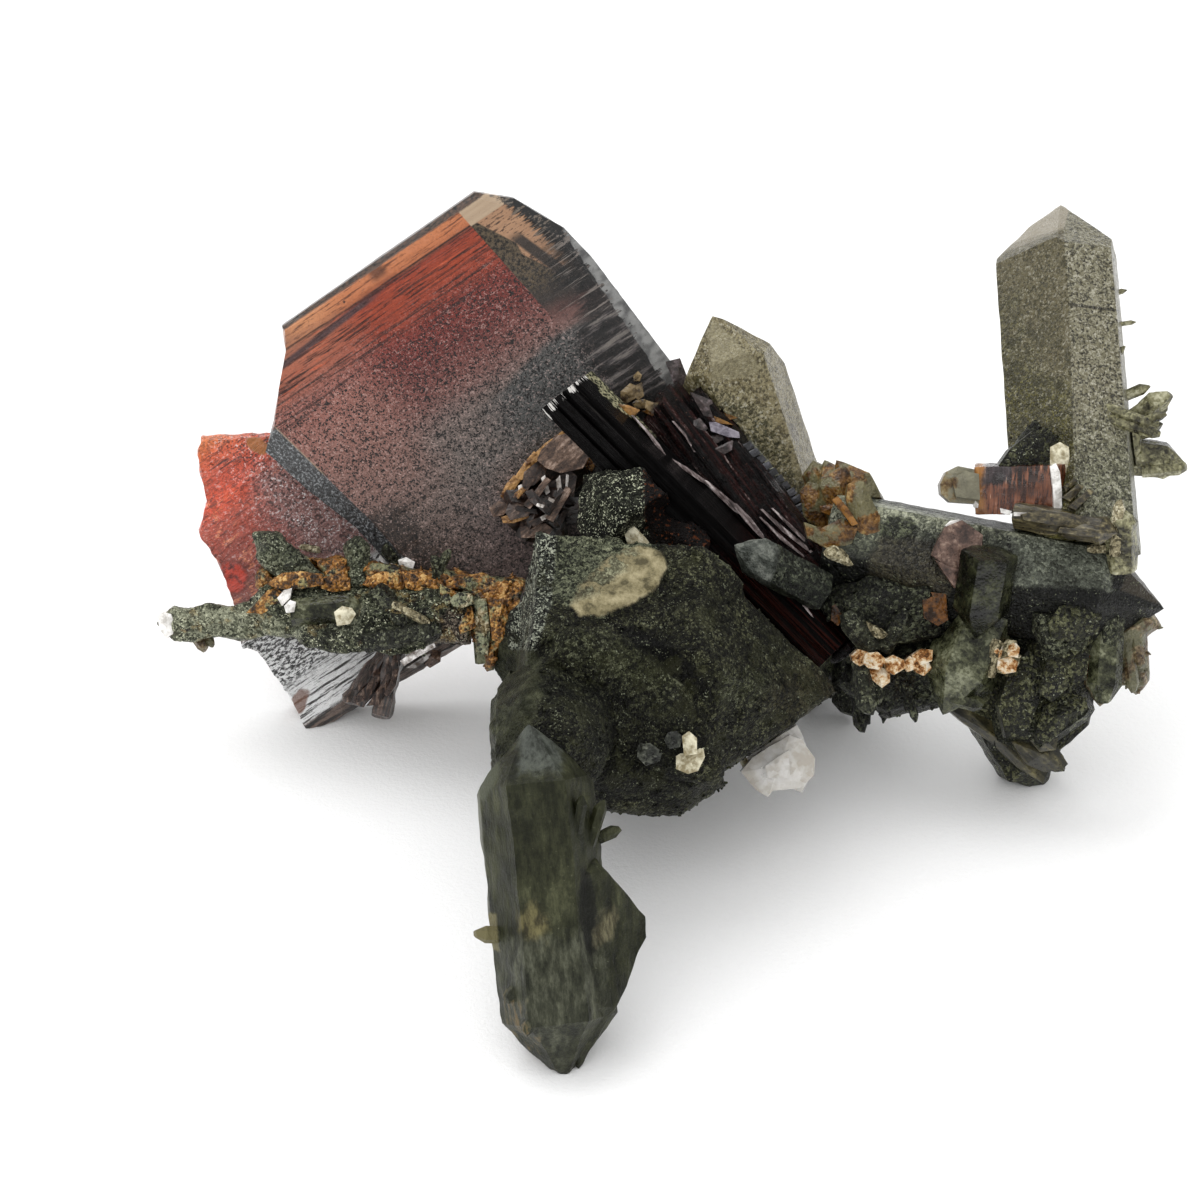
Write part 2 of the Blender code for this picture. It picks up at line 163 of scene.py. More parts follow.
class Field:
    """One value in a material's graph: arithmetic on it adds nodes."""

    def __init__(self, graph, socket):
        self.graph = graph
        self.socket = socket

    def __add__(self, other):
        return self.graph.math("ADD", self, other)

    def __sub__(self, other):
        return self.graph.math("SUBTRACT", self, other)

    def __rsub__(self, other):
        return self.graph.math("SUBTRACT", other, self)

    def __mul__(self, other):
        return self.graph.math("MULTIPLY", self, other)

    __radd__ = __add__
    __rmul__ = __mul__


class Graph:
    """A Principled material whose colour and relief are worked out from the place in the specimen."""

    def __init__(self, name, gain=1.0):
        self.gain = gain
        self.colour = None
        self.material = bpy.data.materials.new(name)
        self.material.use_nodes = True
        self.tree = self.material.node_tree
        self.shader = self.tree.nodes["Principled BSDF"]
        coordinates = self.tree.nodes.new("ShaderNodeTexCoord")
        scaled = self.node("ShaderNodeVectorMath", [coordinates.outputs["Object"]], operation="SCALE")
        scaled.socket.node.inputs["Scale"].default_value = 1 / MM
        self.place = self.node("ShaderNodeVectorMath", [scaled, tuple(MIDDLE)], operation="ADD")

    def put(self, socket, value):
        if isinstance(value, Field):
            value = value.socket
        if isinstance(value, bpy.types.NodeSocket):
            self.tree.links.new(value, socket)
        else:
            socket.default_value = value

    def node(self, kind, values, output=0, **settings):
        made = self.tree.nodes.new(kind)
        for key, value in settings.items():
            setattr(made, key, value)
        for socket, value in zip(made.inputs, values):
            if value is not None:
                self.put(socket, value)
        return Field(self, made.outputs[output])

    def math(self, operation, *values):
        return self.node("ShaderNodeMath", values, operation=operation)

    def low(self, first, second):
        return self.math("MINIMUM", first, second)

    def high(self, first, second):
        return self.math("MAXIMUM", first, second)

    def along(self, direction, origin):
        """Distance in millimetres from the origin along a direction."""
        moved = self.node("ShaderNodeVectorMath", [self.place, tuple(origin)], operation="SUBTRACT")
        return self.node("ShaderNodeVectorMath", [moved, tuple(direction)], output=1, operation="DOT_PRODUCT")

    def vector(self, x, y, z):
        return self.node("ShaderNodeCombineXYZ", [x, y, z])

    def noise(self, scale, detail=3.0, rough=0.55, vector=None):
        made = self.tree.nodes.new("ShaderNodeTexNoise")
        self.put(made.inputs["Vector"], vector or self.place)
        for key, value in (("Scale", scale), ("Detail", detail), ("Roughness", rough)):
            made.inputs[key].default_value = value
        return Field(self, made.outputs["Fac"])

    def streaks(self, x, y, z, detail=4, rough=0.7):
        """Noise that is drawn out by the scales of its three coordinates."""
        return self.noise(1.0, detail, rough, self.vector(x, y, z))

    def cells(self, scale, vector=None):
        """A random value for each grain, and the distance from the grain's middle."""
        made = self.tree.nodes.new("ShaderNodeTexVoronoi")
        self.put(made.inputs["Vector"], vector or self.place)
        made.inputs["Scale"].default_value = scale
        value = self.node("ShaderNodeSeparateColor", [made.outputs["Color"]])
        return value, Field(self, made.outputs["Distance"])

    def fade(self, value, low, high):
        """0 at low and 1 at high, with a soft start and end."""
        if low > high:
            return 1.0 - self.fade(value, high, low)
        made = self.tree.nodes.new("ShaderNodeMapRange")
        made.interpolation_type = "SMOOTHSTEP"
        self.put(made.inputs["Value"], value)
        made.inputs["From Min"].default_value = low
        made.inputs["From Max"].default_value = high
        return Field(self, made.outputs["Result"])

    def between(self, value, low, high, soft):
        return self.fade(value, low - soft, low + soft) * self.fade(value, high + soft, high - soft)

    def ramp(self, value, places, codes):
        """Colour by value: each place, a value, has a colour code of its own."""
        stops = list(zip(places, codes.split()))
        first, last = places[0], places[-1]
        share = self.math("DIVIDE", value - first, last - first)
        made = self.tree.nodes.new("ShaderNodeValToRGB")
        self.put(made.inputs["Fac"], share)
        elements = made.color_ramp.elements
        while len(elements) < len(stops):
            elements.new(0.5)
        for element, at in zip(elements, places):
            element.position = (at - first) / (last - first)
        for element, (at, code) in zip(elements, stops):
            element.color = rgb(code, self.gain)
        return Field(self, made.outputs["Color"])

    def mix(self, share, first, second):
        made = self.tree.nodes.new("ShaderNodeMix")
        made.data_type = "RGBA"
        self.put(made.inputs["Factor"], share)
        for socket, colour in ((made.inputs[6], first), (made.inputs[7], second)):
            self.put(socket, rgb(colour, self.gain) if isinstance(colour, str) else colour)
        return Field(self, made.outputs[2])

    def tint(self, value, low, high, first, second):
        """The first colour where the value is low, and the second where it is high."""
        return self.mix(self.fade(value, low, high), first, second)

    def over(self, share, colour):
        """Lays a colour over the colour so far."""
        self.colour = self.mix(share, self.colour, colour)

    def shade(self, code, factor):
        """A colour with its brightness multiplied by a field."""
        made = self.tree.nodes.new("ShaderNodeVectorMath")
        made.operation = "SCALE"
        self.put(made.inputs[0], rgb(code, self.gain)[:3])
        self.put(made.inputs["Scale"], factor)
        return Field(self, made.outputs[0])

    def patch(self, patch, soft=0.15, ragged=0.25):
        """1 in an oval patch that is seen in the picture, fading at its uneven edge."""
        middle = seen(patch.x, patch.y)
        turn = math.radians(patch.angle)
        across = Vector((1, 0, 0))
        long_way = self.along((across * math.cos(turn) + UP * math.sin(turn)) / patch.length, middle)
        short_way = self.along((UP * math.cos(turn) - across * math.sin(turn)) / patch.width, middle)
        from_middle = self.vector(long_way, short_way, 0.0)
        reach = self.node("ShaderNodeVectorMath", [from_middle], output=1, operation="LENGTH")
        uneven = reach + (self.noise(1.1, 3) - 0.5) * (ragged * 4)
        return self.fade(uneven, 1 + soft, 1 - soft)

    def zone(self, corners, soft, ragged):
        """1 between sight planes through corners that go clockwise round a zone of the picture."""
        inside = None
        for (x0, y0), (x1, y1) in sides(outline(corners)):
            inward = self.along(sight(x1, y1).cross(sight(x0, y0)).normalized() * -1, EYE)
            inside = self.low(inside, inward) if inside else inward
        return self.fade(inside + (self.noise(1.3, 3) - 0.5) * ragged * 2, -soft, soft)

    def finish(self, rough, reliefs, IOR=QUARTZ_IOR, **inputs):
        """Sets the shader. Each relief is (height field in millimetres, strength)."""
        self.put(self.shader.inputs["Base Color"], self.colour)
        self.put(self.shader.inputs["Roughness"], rough)
        self.put(self.shader.inputs["IOR"], IOR)
        for key, value in inputs.items():
            self.put(self.shader.inputs[key.replace("_", " ")], value)
        normal = None
        for height, strength in reliefs:
            bump = self.tree.nodes.new("ShaderNodeBump")
            bump.inputs["Strength"].default_value = strength
            bump.inputs["Distance"].default_value = MM
            self.put(bump.inputs["Height"], height)
            if normal:
                self.put(bump.inputs["Normal"], normal)
            normal = bump.outputs["Normal"]
        if normal:
            self.put(self.shader.inputs["Normal"], normal)
        return self.material


def plate_field(g):
    """Along the c-axis of the plates, across it, and out of their main face."""
    return g.along(PLATE_U, PLATE), g.along(PLATE_V, PLATE), g.along(PLATE_N, PLATE)


def salted(g, scale, dark, light, dark_share, light_share, mask):
    """Lays dark pits and light glints of grain size over the colour."""
    value = g.cells(scale)[0]
    wide = g.noise(scale * 0.3, 2)
    dots = g.noise(scale * 1.3, 2, 0.6)
    tone = value * 0.45 + dots * 0.8 + wide * 0.5
    g.over(g.fade(tone, 0.88, 0.66) * dark_share * mask, dark)
    g.over(g.fade(tone, 1.02, 1.16) * light_share * mask, light)
    return tone


def glinted(g, scale, code, share, mask=1.0):
    """Lays small crisp glints over the colour, packed closer where a coarse noise is high."""
    sparks = g.noise(scale, 2, 0.6) + (g.noise(scale * 0.22, 2) - 0.5) * 0.5
    g.over(g.fade(sparks, 0.70 - share * 0.2, 0.74 - share * 0.2) * mask, code)


def main_plate_material():
    g = Graph("brookite_main")
    u, v, w = plate_field(g)
    wander = (g.noise(0.35, 3) - 0.5) * 2.0
    fine = g.noise(5.0, 4, 0.7)
    streak = g.streaks(u * 0.25, v * 3.0, w, 4, 0.65)
    bands = g.streaks(u * 0.05, v * 2.2, 0.0, 3, 0.5)
    depth = v + (bands - 0.5) * 0.8 + (wander * 0.35)
    warm_depths = (-9.0, -4.5, -1.5, 0.5, 2.4, 4.4, 5.3, 6.8, 7.5, 7.85, 8.1, 9.0)
    warm_codes = "5e4f4c 625a55 6b5c56 70423b 66241d 752417 8c3217 94340f 8a2f14 6a2f1c b0663c bb7246"
    warm = g.ramp(depth, warm_depths, warm_codes)
    pale_depths = (-9.0, -5.0, -2.0, 2.0, 4.5, 6.0, 7.0, 7.6, 8.2, 9.0)
    pale_codes = "5a4c47 66544d 7a5950 8a5b50 90564a 9c563f a15a3f 8f5a42 b97a50 c48458"
    pale = g.ramp(depth, pale_depths, pale_codes)
    left = g.fade(u + wander * 1.2, -0.5, -4.5)
    g.colour = g.mix(left, warm, pale)
    grey_edge = v + g.math("SINE", u * 0.55 + 0.4) * 0.5 + wander * 0.25
    grey = g.fade(grey_edge, -1.0, -1.5) * g.fade(u + wander * 0.8, 0.5, 4.2)
    g.over(grey * 0.9, "464847")
    # Growth lines along the c-axis
    violet = g.between(v - 7.3 - u * 0.06 - 0.25, -0.2, 0.2, 0.1) * g.fade(u, 1.4, -0.8)
    g.over(violet * 0.9, "3f2f33")
    brush = g.streaks(u * 0.16, v * 3.2, w)
    g.over(g.fade(brush, 0.54, 0.60) * g.fade(v, 2.6, 4.2) * g.fade(v, 8.0, 7.6) * 0.75, "32110d")
    upper = g.fade(v, 4.6, 5.6) * g.fade(v, 8.1, 7.7)
    threads = g.streaks(u * 0.35, v * 5.0, w, 5, 0.75)
    g.over(g.fade(threads, 0.52, 0.60) * upper * 0.9, "2c0d07")
    g.over(g.fade(threads, 0.44, 0.34) * upper * 0.6, "cc5a30")
    g.over(g.fade(threads, 0.54, 0.60) * g.fade(v, 7.8, 8.1) * 0.8, "4a2412")
    dusky = g.fade(v, 7.9, 8.2) * g.fade(u + wander, -4.6, -6.4)
    g.over(dusky * 0.7, "7a5240")
    for at, width, dark in ((7.84, 0.06, 0.9), (6.05, 0.04, 0.5), (5.28, 0.05, 0.7), (4.7, 0.05, 0.4)):
        line = g.between(v + (bands - 0.5) * 0.15, at - width, at + width, 0.04)
        g.over(line * dark * g.fade(streak, 0.3, 0.5), "24120d")
    smudge = g.between(u, 0.7, 1.7, 0.3) * g.fade(v, 8.0, 8.5)
    g.over(smudge * 0.8, "4c2a1b")
    dots = g.fade(g.noise(2.6, 2), 0.70, 0.74) * g.fade(v, 7.8, 8.1)
    g.over(dots * 0.9, "1c120e")
    # The dark and pale growth sectors of the right end
    side = u - 7.3 - (9.3 - v) * 0.135
    sector = g.fade(side, -0.03, 0.05)
    far = u - 9.55 + (v - 8.0) * 0.28
    tan = g.mix(streak, "7d5a40", "b58c6a")
    grains = g.streaks(u * 1.6, v * 6.0, w)
    tan = g.mix(g.fade(grains, 0.53, 0.60) * 0.9, tan, "38241a")
    olive = g.tint(fine, 0.40, 0.60, "14110c", "564834")
    shelf = g.fade(v, 7.72, 7.8)
    lower_edge = u - 7.95 - (7.7 - v) * 0.55 + g.fade(v, 5.5, 4.5) * 0.5
    inner = g.mix(g.fade(lower_edge, -0.05, 0.08), olive, tan)
    crossing = g.between(u - 9.9 + (4.4 - v) * -0.35, -0.35, 0.35, 0.1) * g.fade(v, 6.2, 5.4)
    inner = g.mix(crossing, inner, "352b24")
    inner = g.mix(g.fade(v + wander * 0.4, 3.2, 1.4) * 0.9, inner, "2a2320")
    inner = g.mix(shelf, inner, g.mix(streak, "927a62", "b9a388"))
    hairs = g.streaks(u * 0.2, v * 3.8, w)
    band = g.tint(hairs, 0.55, 0.61, "020202", "665b50")
    inner = g.mix(g.fade(far + (hairs - 0.5) * 2.6, 0.25, 0.55), inner, band)
    g.over(sector * g.fade(v + wander * 0.6, -0.6, 1.4), inner)
    # Dark streaks that come in from the right edge
    edge = g.fade(u + (streak - 0.5) * 6.0, 9.2, 11.2) * g.fade(v, 5.6, 3.0)
    g.over(edge * 0.95, g.tint(hairs, 0.55, 0.61, "030303", "726a64"))
    dim = g.fade(u + wander, 8.2, 9.4) * g.fade(v + wander * 0.5, -0.6, -1.6)
    folds = g.streaks(u * 0.3, v * 2.2, w, 4, 0.65)
    g.over(dim * 0.95, g.ramp(folds, (0.42, 0.50, 0.56, 0.62), "060505 1a1716 4a4444 6e6862"))
    brown = g.fade(u + wander, -4.6, -6.2) * g.fade(v + wander, -3.0, -4.4)
    g.over(brown * 0.85, "2c211a")
    # Salt-and-pepper pitting
    rough_part = g.fade(v + wander, 6.5, 3.5)
    streaky = sector * g.fade(v, -1.5, 1.0)
    pitted = (rough_part * 0.85 + 0.15) * (1.0 - g.high(streaky, g.fade(u, 8.6, 9.8)) * 0.85)
    tone = salted(g, 10.5, "060303", "ceb2aa", 1.0, 0.34, pitted)
    red_lines = g.streaks(u * 1.1, v * 5.5, w)
    deep = g.between(v, 2.0, 4.3, 0.8) * g.between(u, -2.5, 7.0, 1.0)
    g.over(g.fade(red_lines, 0.62, 0.70) * deep * 0.7, "d9a89c")
    g.over(g.fade(red_lines, 0.42, 0.34) * deep * 0.7, "3a100b")
    # The steep facets along the edges
    stripe = g.high(u + 8.52 + (v - 0.3) * 0.2, u + 7.72 + (v + 3.6) * 0.12)
    facet = g.fade(stripe, 0.02, -0.06) * g.fade(v, 4.4, 4.1)
    gritty = g.noise(6.0, 4, 0.8)
    g.over(facet, g.ramp(gritty, (0.38, 0.47, 0.54, 0.62), "080909 222426 424547 909395"))
    cream = g.between(stripe, -0.03, 0.04, 0.05) * g.between(v, 0.2, 4.3, 0.2)
    g.over(cream * 0.7, "a08d74")
    chip = g.streaks(u * 0.4, v * 1.4, w, 2, 0.5)
    notch = g.fade(hairs + (chip - 0.5) * 0.6, 0.56, 0.64)
    rim = g.fade(u - notch * 0.35 + (chip - 0.5) * 0.4, 11.98, 12.04) * g.fade(v, 4.6, 4.2)
    g.over(rim, g.tint(chip, 0.35, 0.65, "4c4c4c", "858583"))
    top = g.fade(v + (fine - 0.5) * 0.25, 8.82, 8.95)
    g.over(top, g.tint(fine, 0.4, 0.6, "0e0a08", "5a4436"))
    relief = tone * 0.07 * rough_part + streak * 0.04
    return g.finish(0.32 + (fine - 0.5) * 0.3, [(relief, 0.8)], IOR=BROOKITE_IOR, Specular_IOR_Level=0.3)


def lower_plate_material():
    g = Graph("brookite_lower", 1.25)
    u, v, w = plate_field(g)
    wander = (g.noise(0.45, 3) - 0.5) * 2.0
    fine = g.noise(4.5, 4, 0.7)
    streak = g.streaks(u * 0.5, v * 3.6, w, 4, 0.65)
    depths = (-4.5, -1.0, 1.2, 2.2, 3.4, 4.6, 5.8)
    g.colour = g.ramp(v + wander * 0.5, depths, "8c4638 984030 b0442a d44a22 c04626 cc5428 d67034")
    mauve = g.fade(u + wander, -14.0, -11.4) * g.fade(v, 3.4, 1.6)
    g.over(mauve * 0.85, "87635e")
    hairs = g.streaks(u * 0.35, v * 4.5, w)
    g.over(g.fade(hairs, 0.57, 0.65) * g.fade(v, 1.6, 3.0) * 0.9, "3a1208")
    g.over(g.fade(hairs, 0.42, 0.34) * g.fade(v, 0.0, 2.4) * 0.7, "e27c50")
    torn = g.streaks(u * 1.0, v * 1.6, w, 3, 0.6)
    g.over(g.fade(torn, 0.56, 0.62) * g.fade(torn, 0.68, 0.63) * g.fade(u, -14.5, -16.0) * 0.7, "f08a60")
    pale = g.fade(u, -15.0, -11.5)
    tone = salted(g, 8.0, "200a07", "fff4f0", 0.9, 0.6, pale * 0.6 + 0.4)
    glinted(g, 9.0, "fff0ea", 0.15, g.fade(u, -14.0, -11.0) * g.fade(v, 2.0, 0.0))
    rough_red = g.streaks(u * 1.2, v * 4.0, w, 4, 0.75)
    g.over(g.fade(rough_red, 0.55, 0.62) * (1.0 - pale * 0.5) * 0.75, "4c140b")
    blob = g.patch(Patch(232, 578, 0.95, 1.0, 0), 0.2, 0.12)
    g.over(blob, g.tint(g.noise(2.4, 3, 0.6), 0.35, 0.6, "5e1206", "b83012"))
    blob_rim = g.patch(Patch(232, 578, 1.1, 1.15, 0), 0.1, 0.12) * (1.0 - blob)
    g.over(blob_rim * 0.7, "5a1a10")
    run = u + 17.0
    edge_lines = g.between(v - 4.5 - run * 0.05, -0.05, 0.05, 0.04)
    edge_lines += g.between(v - 3.9 - run * 0.03, -0.04, 0.04, 0.04)
    g.over(edge_lines * g.fade(u, -14.4, -15.4) * 0.9, "2c0d08")
    # The striated lower end, with a painted reflection: silvery white streaks and sparkle where the
    # striations catch the light
    silver_sheen = g.fade(v + wander * 0.4, -5.4, -6.2)
    grains = g.streaks(u * 2.6, v * 5.4, w)
    grit = g.streaks(u * 3.0, v * 7.0, w, 3, 0.7)
    # painted reflection: fine white sparkle on dark
    salt = g.tint(grains * 0.5 + grit * 0.5, 0.46, 0.54, "0e0c0b", "e6e3e1")
    lines = g.streaks(u * 0.3, v * 4.2, w, 5, 0.75)
    # painted highlight: bright streaks along the striations
    painted_highlight = g.tint(lines, 0.42, 0.50, "1c1816", "f6f4f4")
    g.over(silver_sheen, g.mix(g.fade(v + wander * 0.5, -9.4, -10.4), salt, painted_highlight))
    under = g.fade(v + (fine - 0.5) * 0.4, -12.3, -12.6)
    g.over(under, g.tint(streak, 0.4, 0.6, "15100d", "6a584e"))
    rust = g.patch(Patch(299, 702, 0.9, 0.5, 60))
    g.over(rust * 0.8, "6a3c20")
    amber = g.patch(Patch(258, 446, 0.8, 0.45, -30))
    g.over(amber * 0.9, "9a5c1a")
    relief = tone * 0.12 + streak * 0.3 + rough_red * 0.25 + grains * silver_sheen * 0.3
    return g.finish(0.3 + (fine * 0.25), [(relief, 0.8)], IOR=BROOKITE_IOR)


# Axes of lined crystals, each from its root to its tip
PRISM_AXIS = (13.9, 5.5, 9.3), (-2.0, 15.3, 22.0)
BLADES_AXIS = (15.2, 6.6, 9.0), (3.6, 16.8, 20.6)
BLADES_BACK = BLADES_AXIS[::-1]
PINK_AXIS = (21.6, 4.6, 14.6), (21.2, 7.8, 17.6)
FLAKES_AXIS = (-5.6, 13.4, 13.8), (-1.2, 14.6, 17.6)
FAN_AXIS = (-12.6, 10.2, 6.4), (-13.6, 9.2, 2.1)
SLAB_AXIS = (14.8, -1.0, 4.9), (19.8, -3.6, 1.6)
BARS_AXIS = (25, 8.2, 17.6), (30.4, 5.2, 18.3)
LEG_AXIS = (-4.0, -11.0, 16.4), (-2.0, -21.9, -0.4)


def axis_field(g, axis_ends):
    """Along a crystal's axis, toward the front, and across."""
    root, tip = Vector(axis_ends[0]), Vector(axis_ends[1])
    axis = (tip - root).normalized()
    front = (BACK - axis * axis.dot(BACK)).normalized()
    return g.along(axis, root), g.along(front, root), g.along(axis.cross(front), root)


def prism_material():
    g = Graph("brookite_prism")
    z, x, y = axis_field(g, PRISM_AXIS)
    lines = g.streaks(z * 0.08, x * 4.0, y * 5.0)
    fine = g.noise(5.0, 3)
    g.colour = g.tint(lines, 0.62, 0.74, "040303", "34302e")
    red = g.fade(z + (fine - 0.5) * 6.0, 10.5, 6.0)
    g.over(red * g.fade(lines, 0.45, 0.6) * 0.8, "35150f")
    # painted highlights: white glints on the ribbed end, where the rib crests catch the light
    ends = g.streaks(z * 0.3, x * 5.0, y * 1.2, 3, 0.7)
    tip = g.fade(z + (ends - 0.5) * 2.4, 22.3, 22.45)
    g.over(tip * g.fade(ends, 0.53, 0.57), "d8d5d0")
    coat = g.fade(y + (g.noise(0.8, 3) - 0.5) * 1.2, 1.38, 1.48) * g.fade(z, 16.5, 18.0)
    g.over(coat, g.tint(fine, 0.42, 0.6, "2c2d22", "9a9678"))
    return g.finish(0.12 + fine * 0.1, [(lines * 0.3, 0.8)], IOR=BROOKITE_IOR, Specular_IOR_Level=0.05)


def dark_blade_material():
    g = Graph("brookite_bundle")
    z, x, y = axis_field(g, BLADES_AXIS)
    lines = g.streaks(z * 0.12, x * 3.0, y * 3.6)
    fine = g.noise(4.5, 4, 0.7)
    coarse = g.noise(0.6, 3)
    g.colour = g.mix(g.fade(lines, 0.46, 0.64), "050202", "2a0f0c")
    g.over(g.fade(coarse, 0.50, 0.62) * 0.8, "060505")
    # painted highlights: pale lines along the blades
    g.over(g.fade(lines + fine * 0.25, 0.76, 0.84) * 0.8, "9a8a86")
    g.over(g.fade(g.noise(6.0, 2, 0.6), 0.70, 0.74) * 0.6, "6a4c40")
    relief = lines * 0.35 + fine * 0.06
    return g.finish(0.18 + fine * 0.2, [(relief, 0.9)], IOR=BROOKITE_IOR, Specular_IOR_Level=0.1)


def lined_material(name, codes, axis_ends, along, across):
    """A crystal with fine lines: along and across are the lines' scales on and off its axis."""
    g = Graph(name)
    z, x, y = axis_field(g, axis_ends)
    lines = g.streaks(z * along, x * across, y * across, 4, 0.65)
    fine = g.noise(5.5, 4, 0.7)
    tone = lines * 0.8 + fine * 0.3
    g.colour = g.ramp(tone, (0.38, 0.50, 0.60, 0.70), codes)
    return g.finish(0.2 + fine * 0.2, [(tone * 0.12, 0.8)], IOR=BROOKITE_IOR, Specular_IOR_Level=0.3)


def small_brown_material():
    g = Graph("brookite_small", 1.2)
    z, x, y = axis_field(g, (seen(985, 488), seen(1040, 492)))
    lines = g.streaks(z * 4.5, x * 0.5, y * 0.6, 4, 0.65)
    clouds = g.noise(0.8, 3, 0.6)
    fine = g.noise(5.0, 3)
    g.colour = g.tint(lines, 0.35, 0.65, "33150d", "7c4a30")
    amber = g.fade(z + (clouds - 0.5) * 2.0, 0.5, -0.3)
    g.over(amber, g.tint(clouds, 0.4, 0.6, "5a3410", "a06c2c"))
    bluish = g.zone("982,486 984,460 1014,460 1010,484", 0.2, 0.4)
    g.over(bluish * 0.9, g.tint(lines, 0.4, 0.6, "0e0e10", "2c2c32"))
    dark_part = g.zone("990,484 1020,462 1050,458 1050,476 1020,490", 0.3, 0.5)
    g.over(dark_part * g.fade(lines, 0.66, 0.5) * 0.85, "100806")
    seam = g.zone("996,494 1000,486 1034,486 1034,496", 0.2, 0.6)
    g.over(seam * 0.6, "2a140c")
    g.over(g.fade(lines, 0.66, 0.74) * 0.5, "c8a890")
    return g.finish(0.15 + fine * 0.15, [(lines * 0.12 + fine * 0.05, 0.8)], IOR=BROOKITE_IOR)


def granular(g, codes, grain, spread, drift, fineness):
    """Lays granular chlorite-bearing quartz, from four colours, dark to light; its height and tone."""
    shifts = [g.noise(3.0 + k, 2) * 0.35 for k in range(3)]
    warp = g.node("ShaderNodeVectorMath", [g.place, g.vector(*shifts)], operation="ADD")
    value, distance = g.cells(grain, warp)
    coarse = g.noise(0.45, 4, 0.6)
    fine = g.noise(grain * 1.7, 3, 0.7)
    tone = (value - 0.5) * spread + (coarse - 0.5) * drift + (fine - 0.5) * fineness + 0.5
    g.colour = g.ramp(tone, (0.12, 0.42, 0.66, 0.92), codes)
    height = (1.0 - distance) * 0.2 + fine * 0.07
    return height, tone


# Outlines on the central mass, clockwise in the picture
CREAM_PATCH = "570,606 578,586 611,555 640,545 663,552 667,568 656,589 629,605 600,615 581,616"


def pepper_material():
    g = Graph("quartz_pepper")
    height, tone = granular(g, "040403 0c0e09 22251b 45493a", 7.0, 0.6, 0.7, 0.8)
    glinted(g, 8.5, "c4c8ac", 0.5)
    shade = g.zone("640,456 720,480 730,560 664,566 646,540 644,500", 0.15, 0.4)
    rust = g.tint(g.noise(3.5, 3), 0.58, 0.66, "0a0504", "5c3016")
    g.over(shade, rust)
    return g.finish(0.36 + (1.0 - tone) * 0.2, [(height, 0.9)], Specular_IOR_Level=0.2)


def across_material():
    g = Graph("quartz_across")
    height, tone = granular(g, "060705 13160f 2c3026 5c604f", 6.0, 0.6, 0.8, 0.8)
    pale = g.zone("730,560 738,536 772,530 780,556 770,586 742,584", 0.12, 0.3)
    veil = g.noise(1.2, 4, 0.65)
    g.over(pale, g.ramp(veil, (0.34, 0.48, 0.62), "22241f 444842 74776f"))
    return g.finish(0.3 + (1.0 - tone) * 0.2, [(height, 0.6)], Specular_IOR_Level=0.3)


def mass_material():
    g = Graph("quartz_mass")
    height, tone = granular(g, "030302 11110a 28291b 6a6b50", 6.0, 0.5, 0.8, 1.2)
    # painted shade: the face below the ridge is darkened
    shade_below_ridge = g.zone("488,800 486,660 540,636 606,634 650,656 680,684 700,800", 0.15, 0.2)
    g.over(shade_below_ridge * 0.5, g.ramp(tone, (0.12, 0.5, 0.92), "030302 12130e 3c3f31"))
    upper = g.zone("548,600 552,530 596,520 640,530 664,560 600,612", 0.3, 0.9)
    light = g.ramp(tone, (0.2, 0.45, 0.65, 0.9), "15170f 3c4032 666a54 9a9c80")
    g.over(upper * 0.9, light)
    smooth = g.zone("470,700 476,645 530,636 545,690 520,745 474,755", 0.4, 0.7)
    veil = g.noise(0.9, 4, 0.6)
    g.over(smooth * 0.95, g.ramp(veil, (0.32, 0.5, 0.66), "1a1c11 2e3021 4e503c"))
    side = g.zone("508,650 514,530 556,534 552,600 536,650", 0.15, 0.25)
    g.over(side * 0.95, g.tint(tone, 0.3, 0.75, "050505", "3c403a"))
    glinted(g, 7.0, "a6aa98", 0.75, side)
    lit = g.ramp(tone, (0.2, 0.5, 0.7, 0.9), "12130a 31331f 555840 8d9075")
    crest = g.zone("536,650 546,632 606,630 650,652 684,684 640,692 580,664", 0.3, 0.6)
    g.over(crest * 0.75, lit)
    # painted shadow: a dark line in the hollow beside the ridge
    valley_shadow = g.zone("604,622 640,628 694,664 716,700 702,706 660,668 612,634", 0.1, 0.25)
    g.over(valley_shadow * 0.9, "030302")
    rim = g.zone("700,540 714,536 866,690 858,704", 0.15, 0.4)
    g.over(rim * g.fade(tone, 0.35, 0.6) * 0.8, "666a50")
    glade = g.zone("716,700 722,674 760,668 774,690 750,704", 0.3, 0.8)
    g.over(glade * 0.7, lit)
    olive = g.zone("760,700 800,660 866,700 866,740 790,736", 0.4, 0.9)
    g.over(olive * g.fade(tone, 0.3, 0.7) * 0.7, "3c3826")
    blotches = g.noise(0.6, 4, 0.65)
    g.over(g.fade(blotches, 0.53, 0.61) * (1.0 - upper) * 0.6, "2c2d1b")
    g.over(g.fade(blotches, 0.46, 0.38) * (1.0 - upper) * 0.5, "060604")
    glinted(g, 8.5, "7c806a", 0.12, 1.0 - smooth)
    cream = g.zone(CREAM_PATCH, 0.12, 0.25)
    worn = g.zone("566,604 572,574 622,544 640,552 604,592", 0.4, 0.5)
    cream = cream * (1.0 - worn * g.fade(veil, 0.44, 0.52) * 0.8)
    g.over(cream, g.ramp(veil + (tone - 0.5) * 0.12, (0.34, 0.46, 0.66), "4c4630 7c7355 a49a7a"))
    rough = 0.34 + (1.0 - tone) * 0.2
    return g.finish(rough, [(height * (1.0 - cream * 0.85), 1.0)], Specular_IOR_Level=0.18)


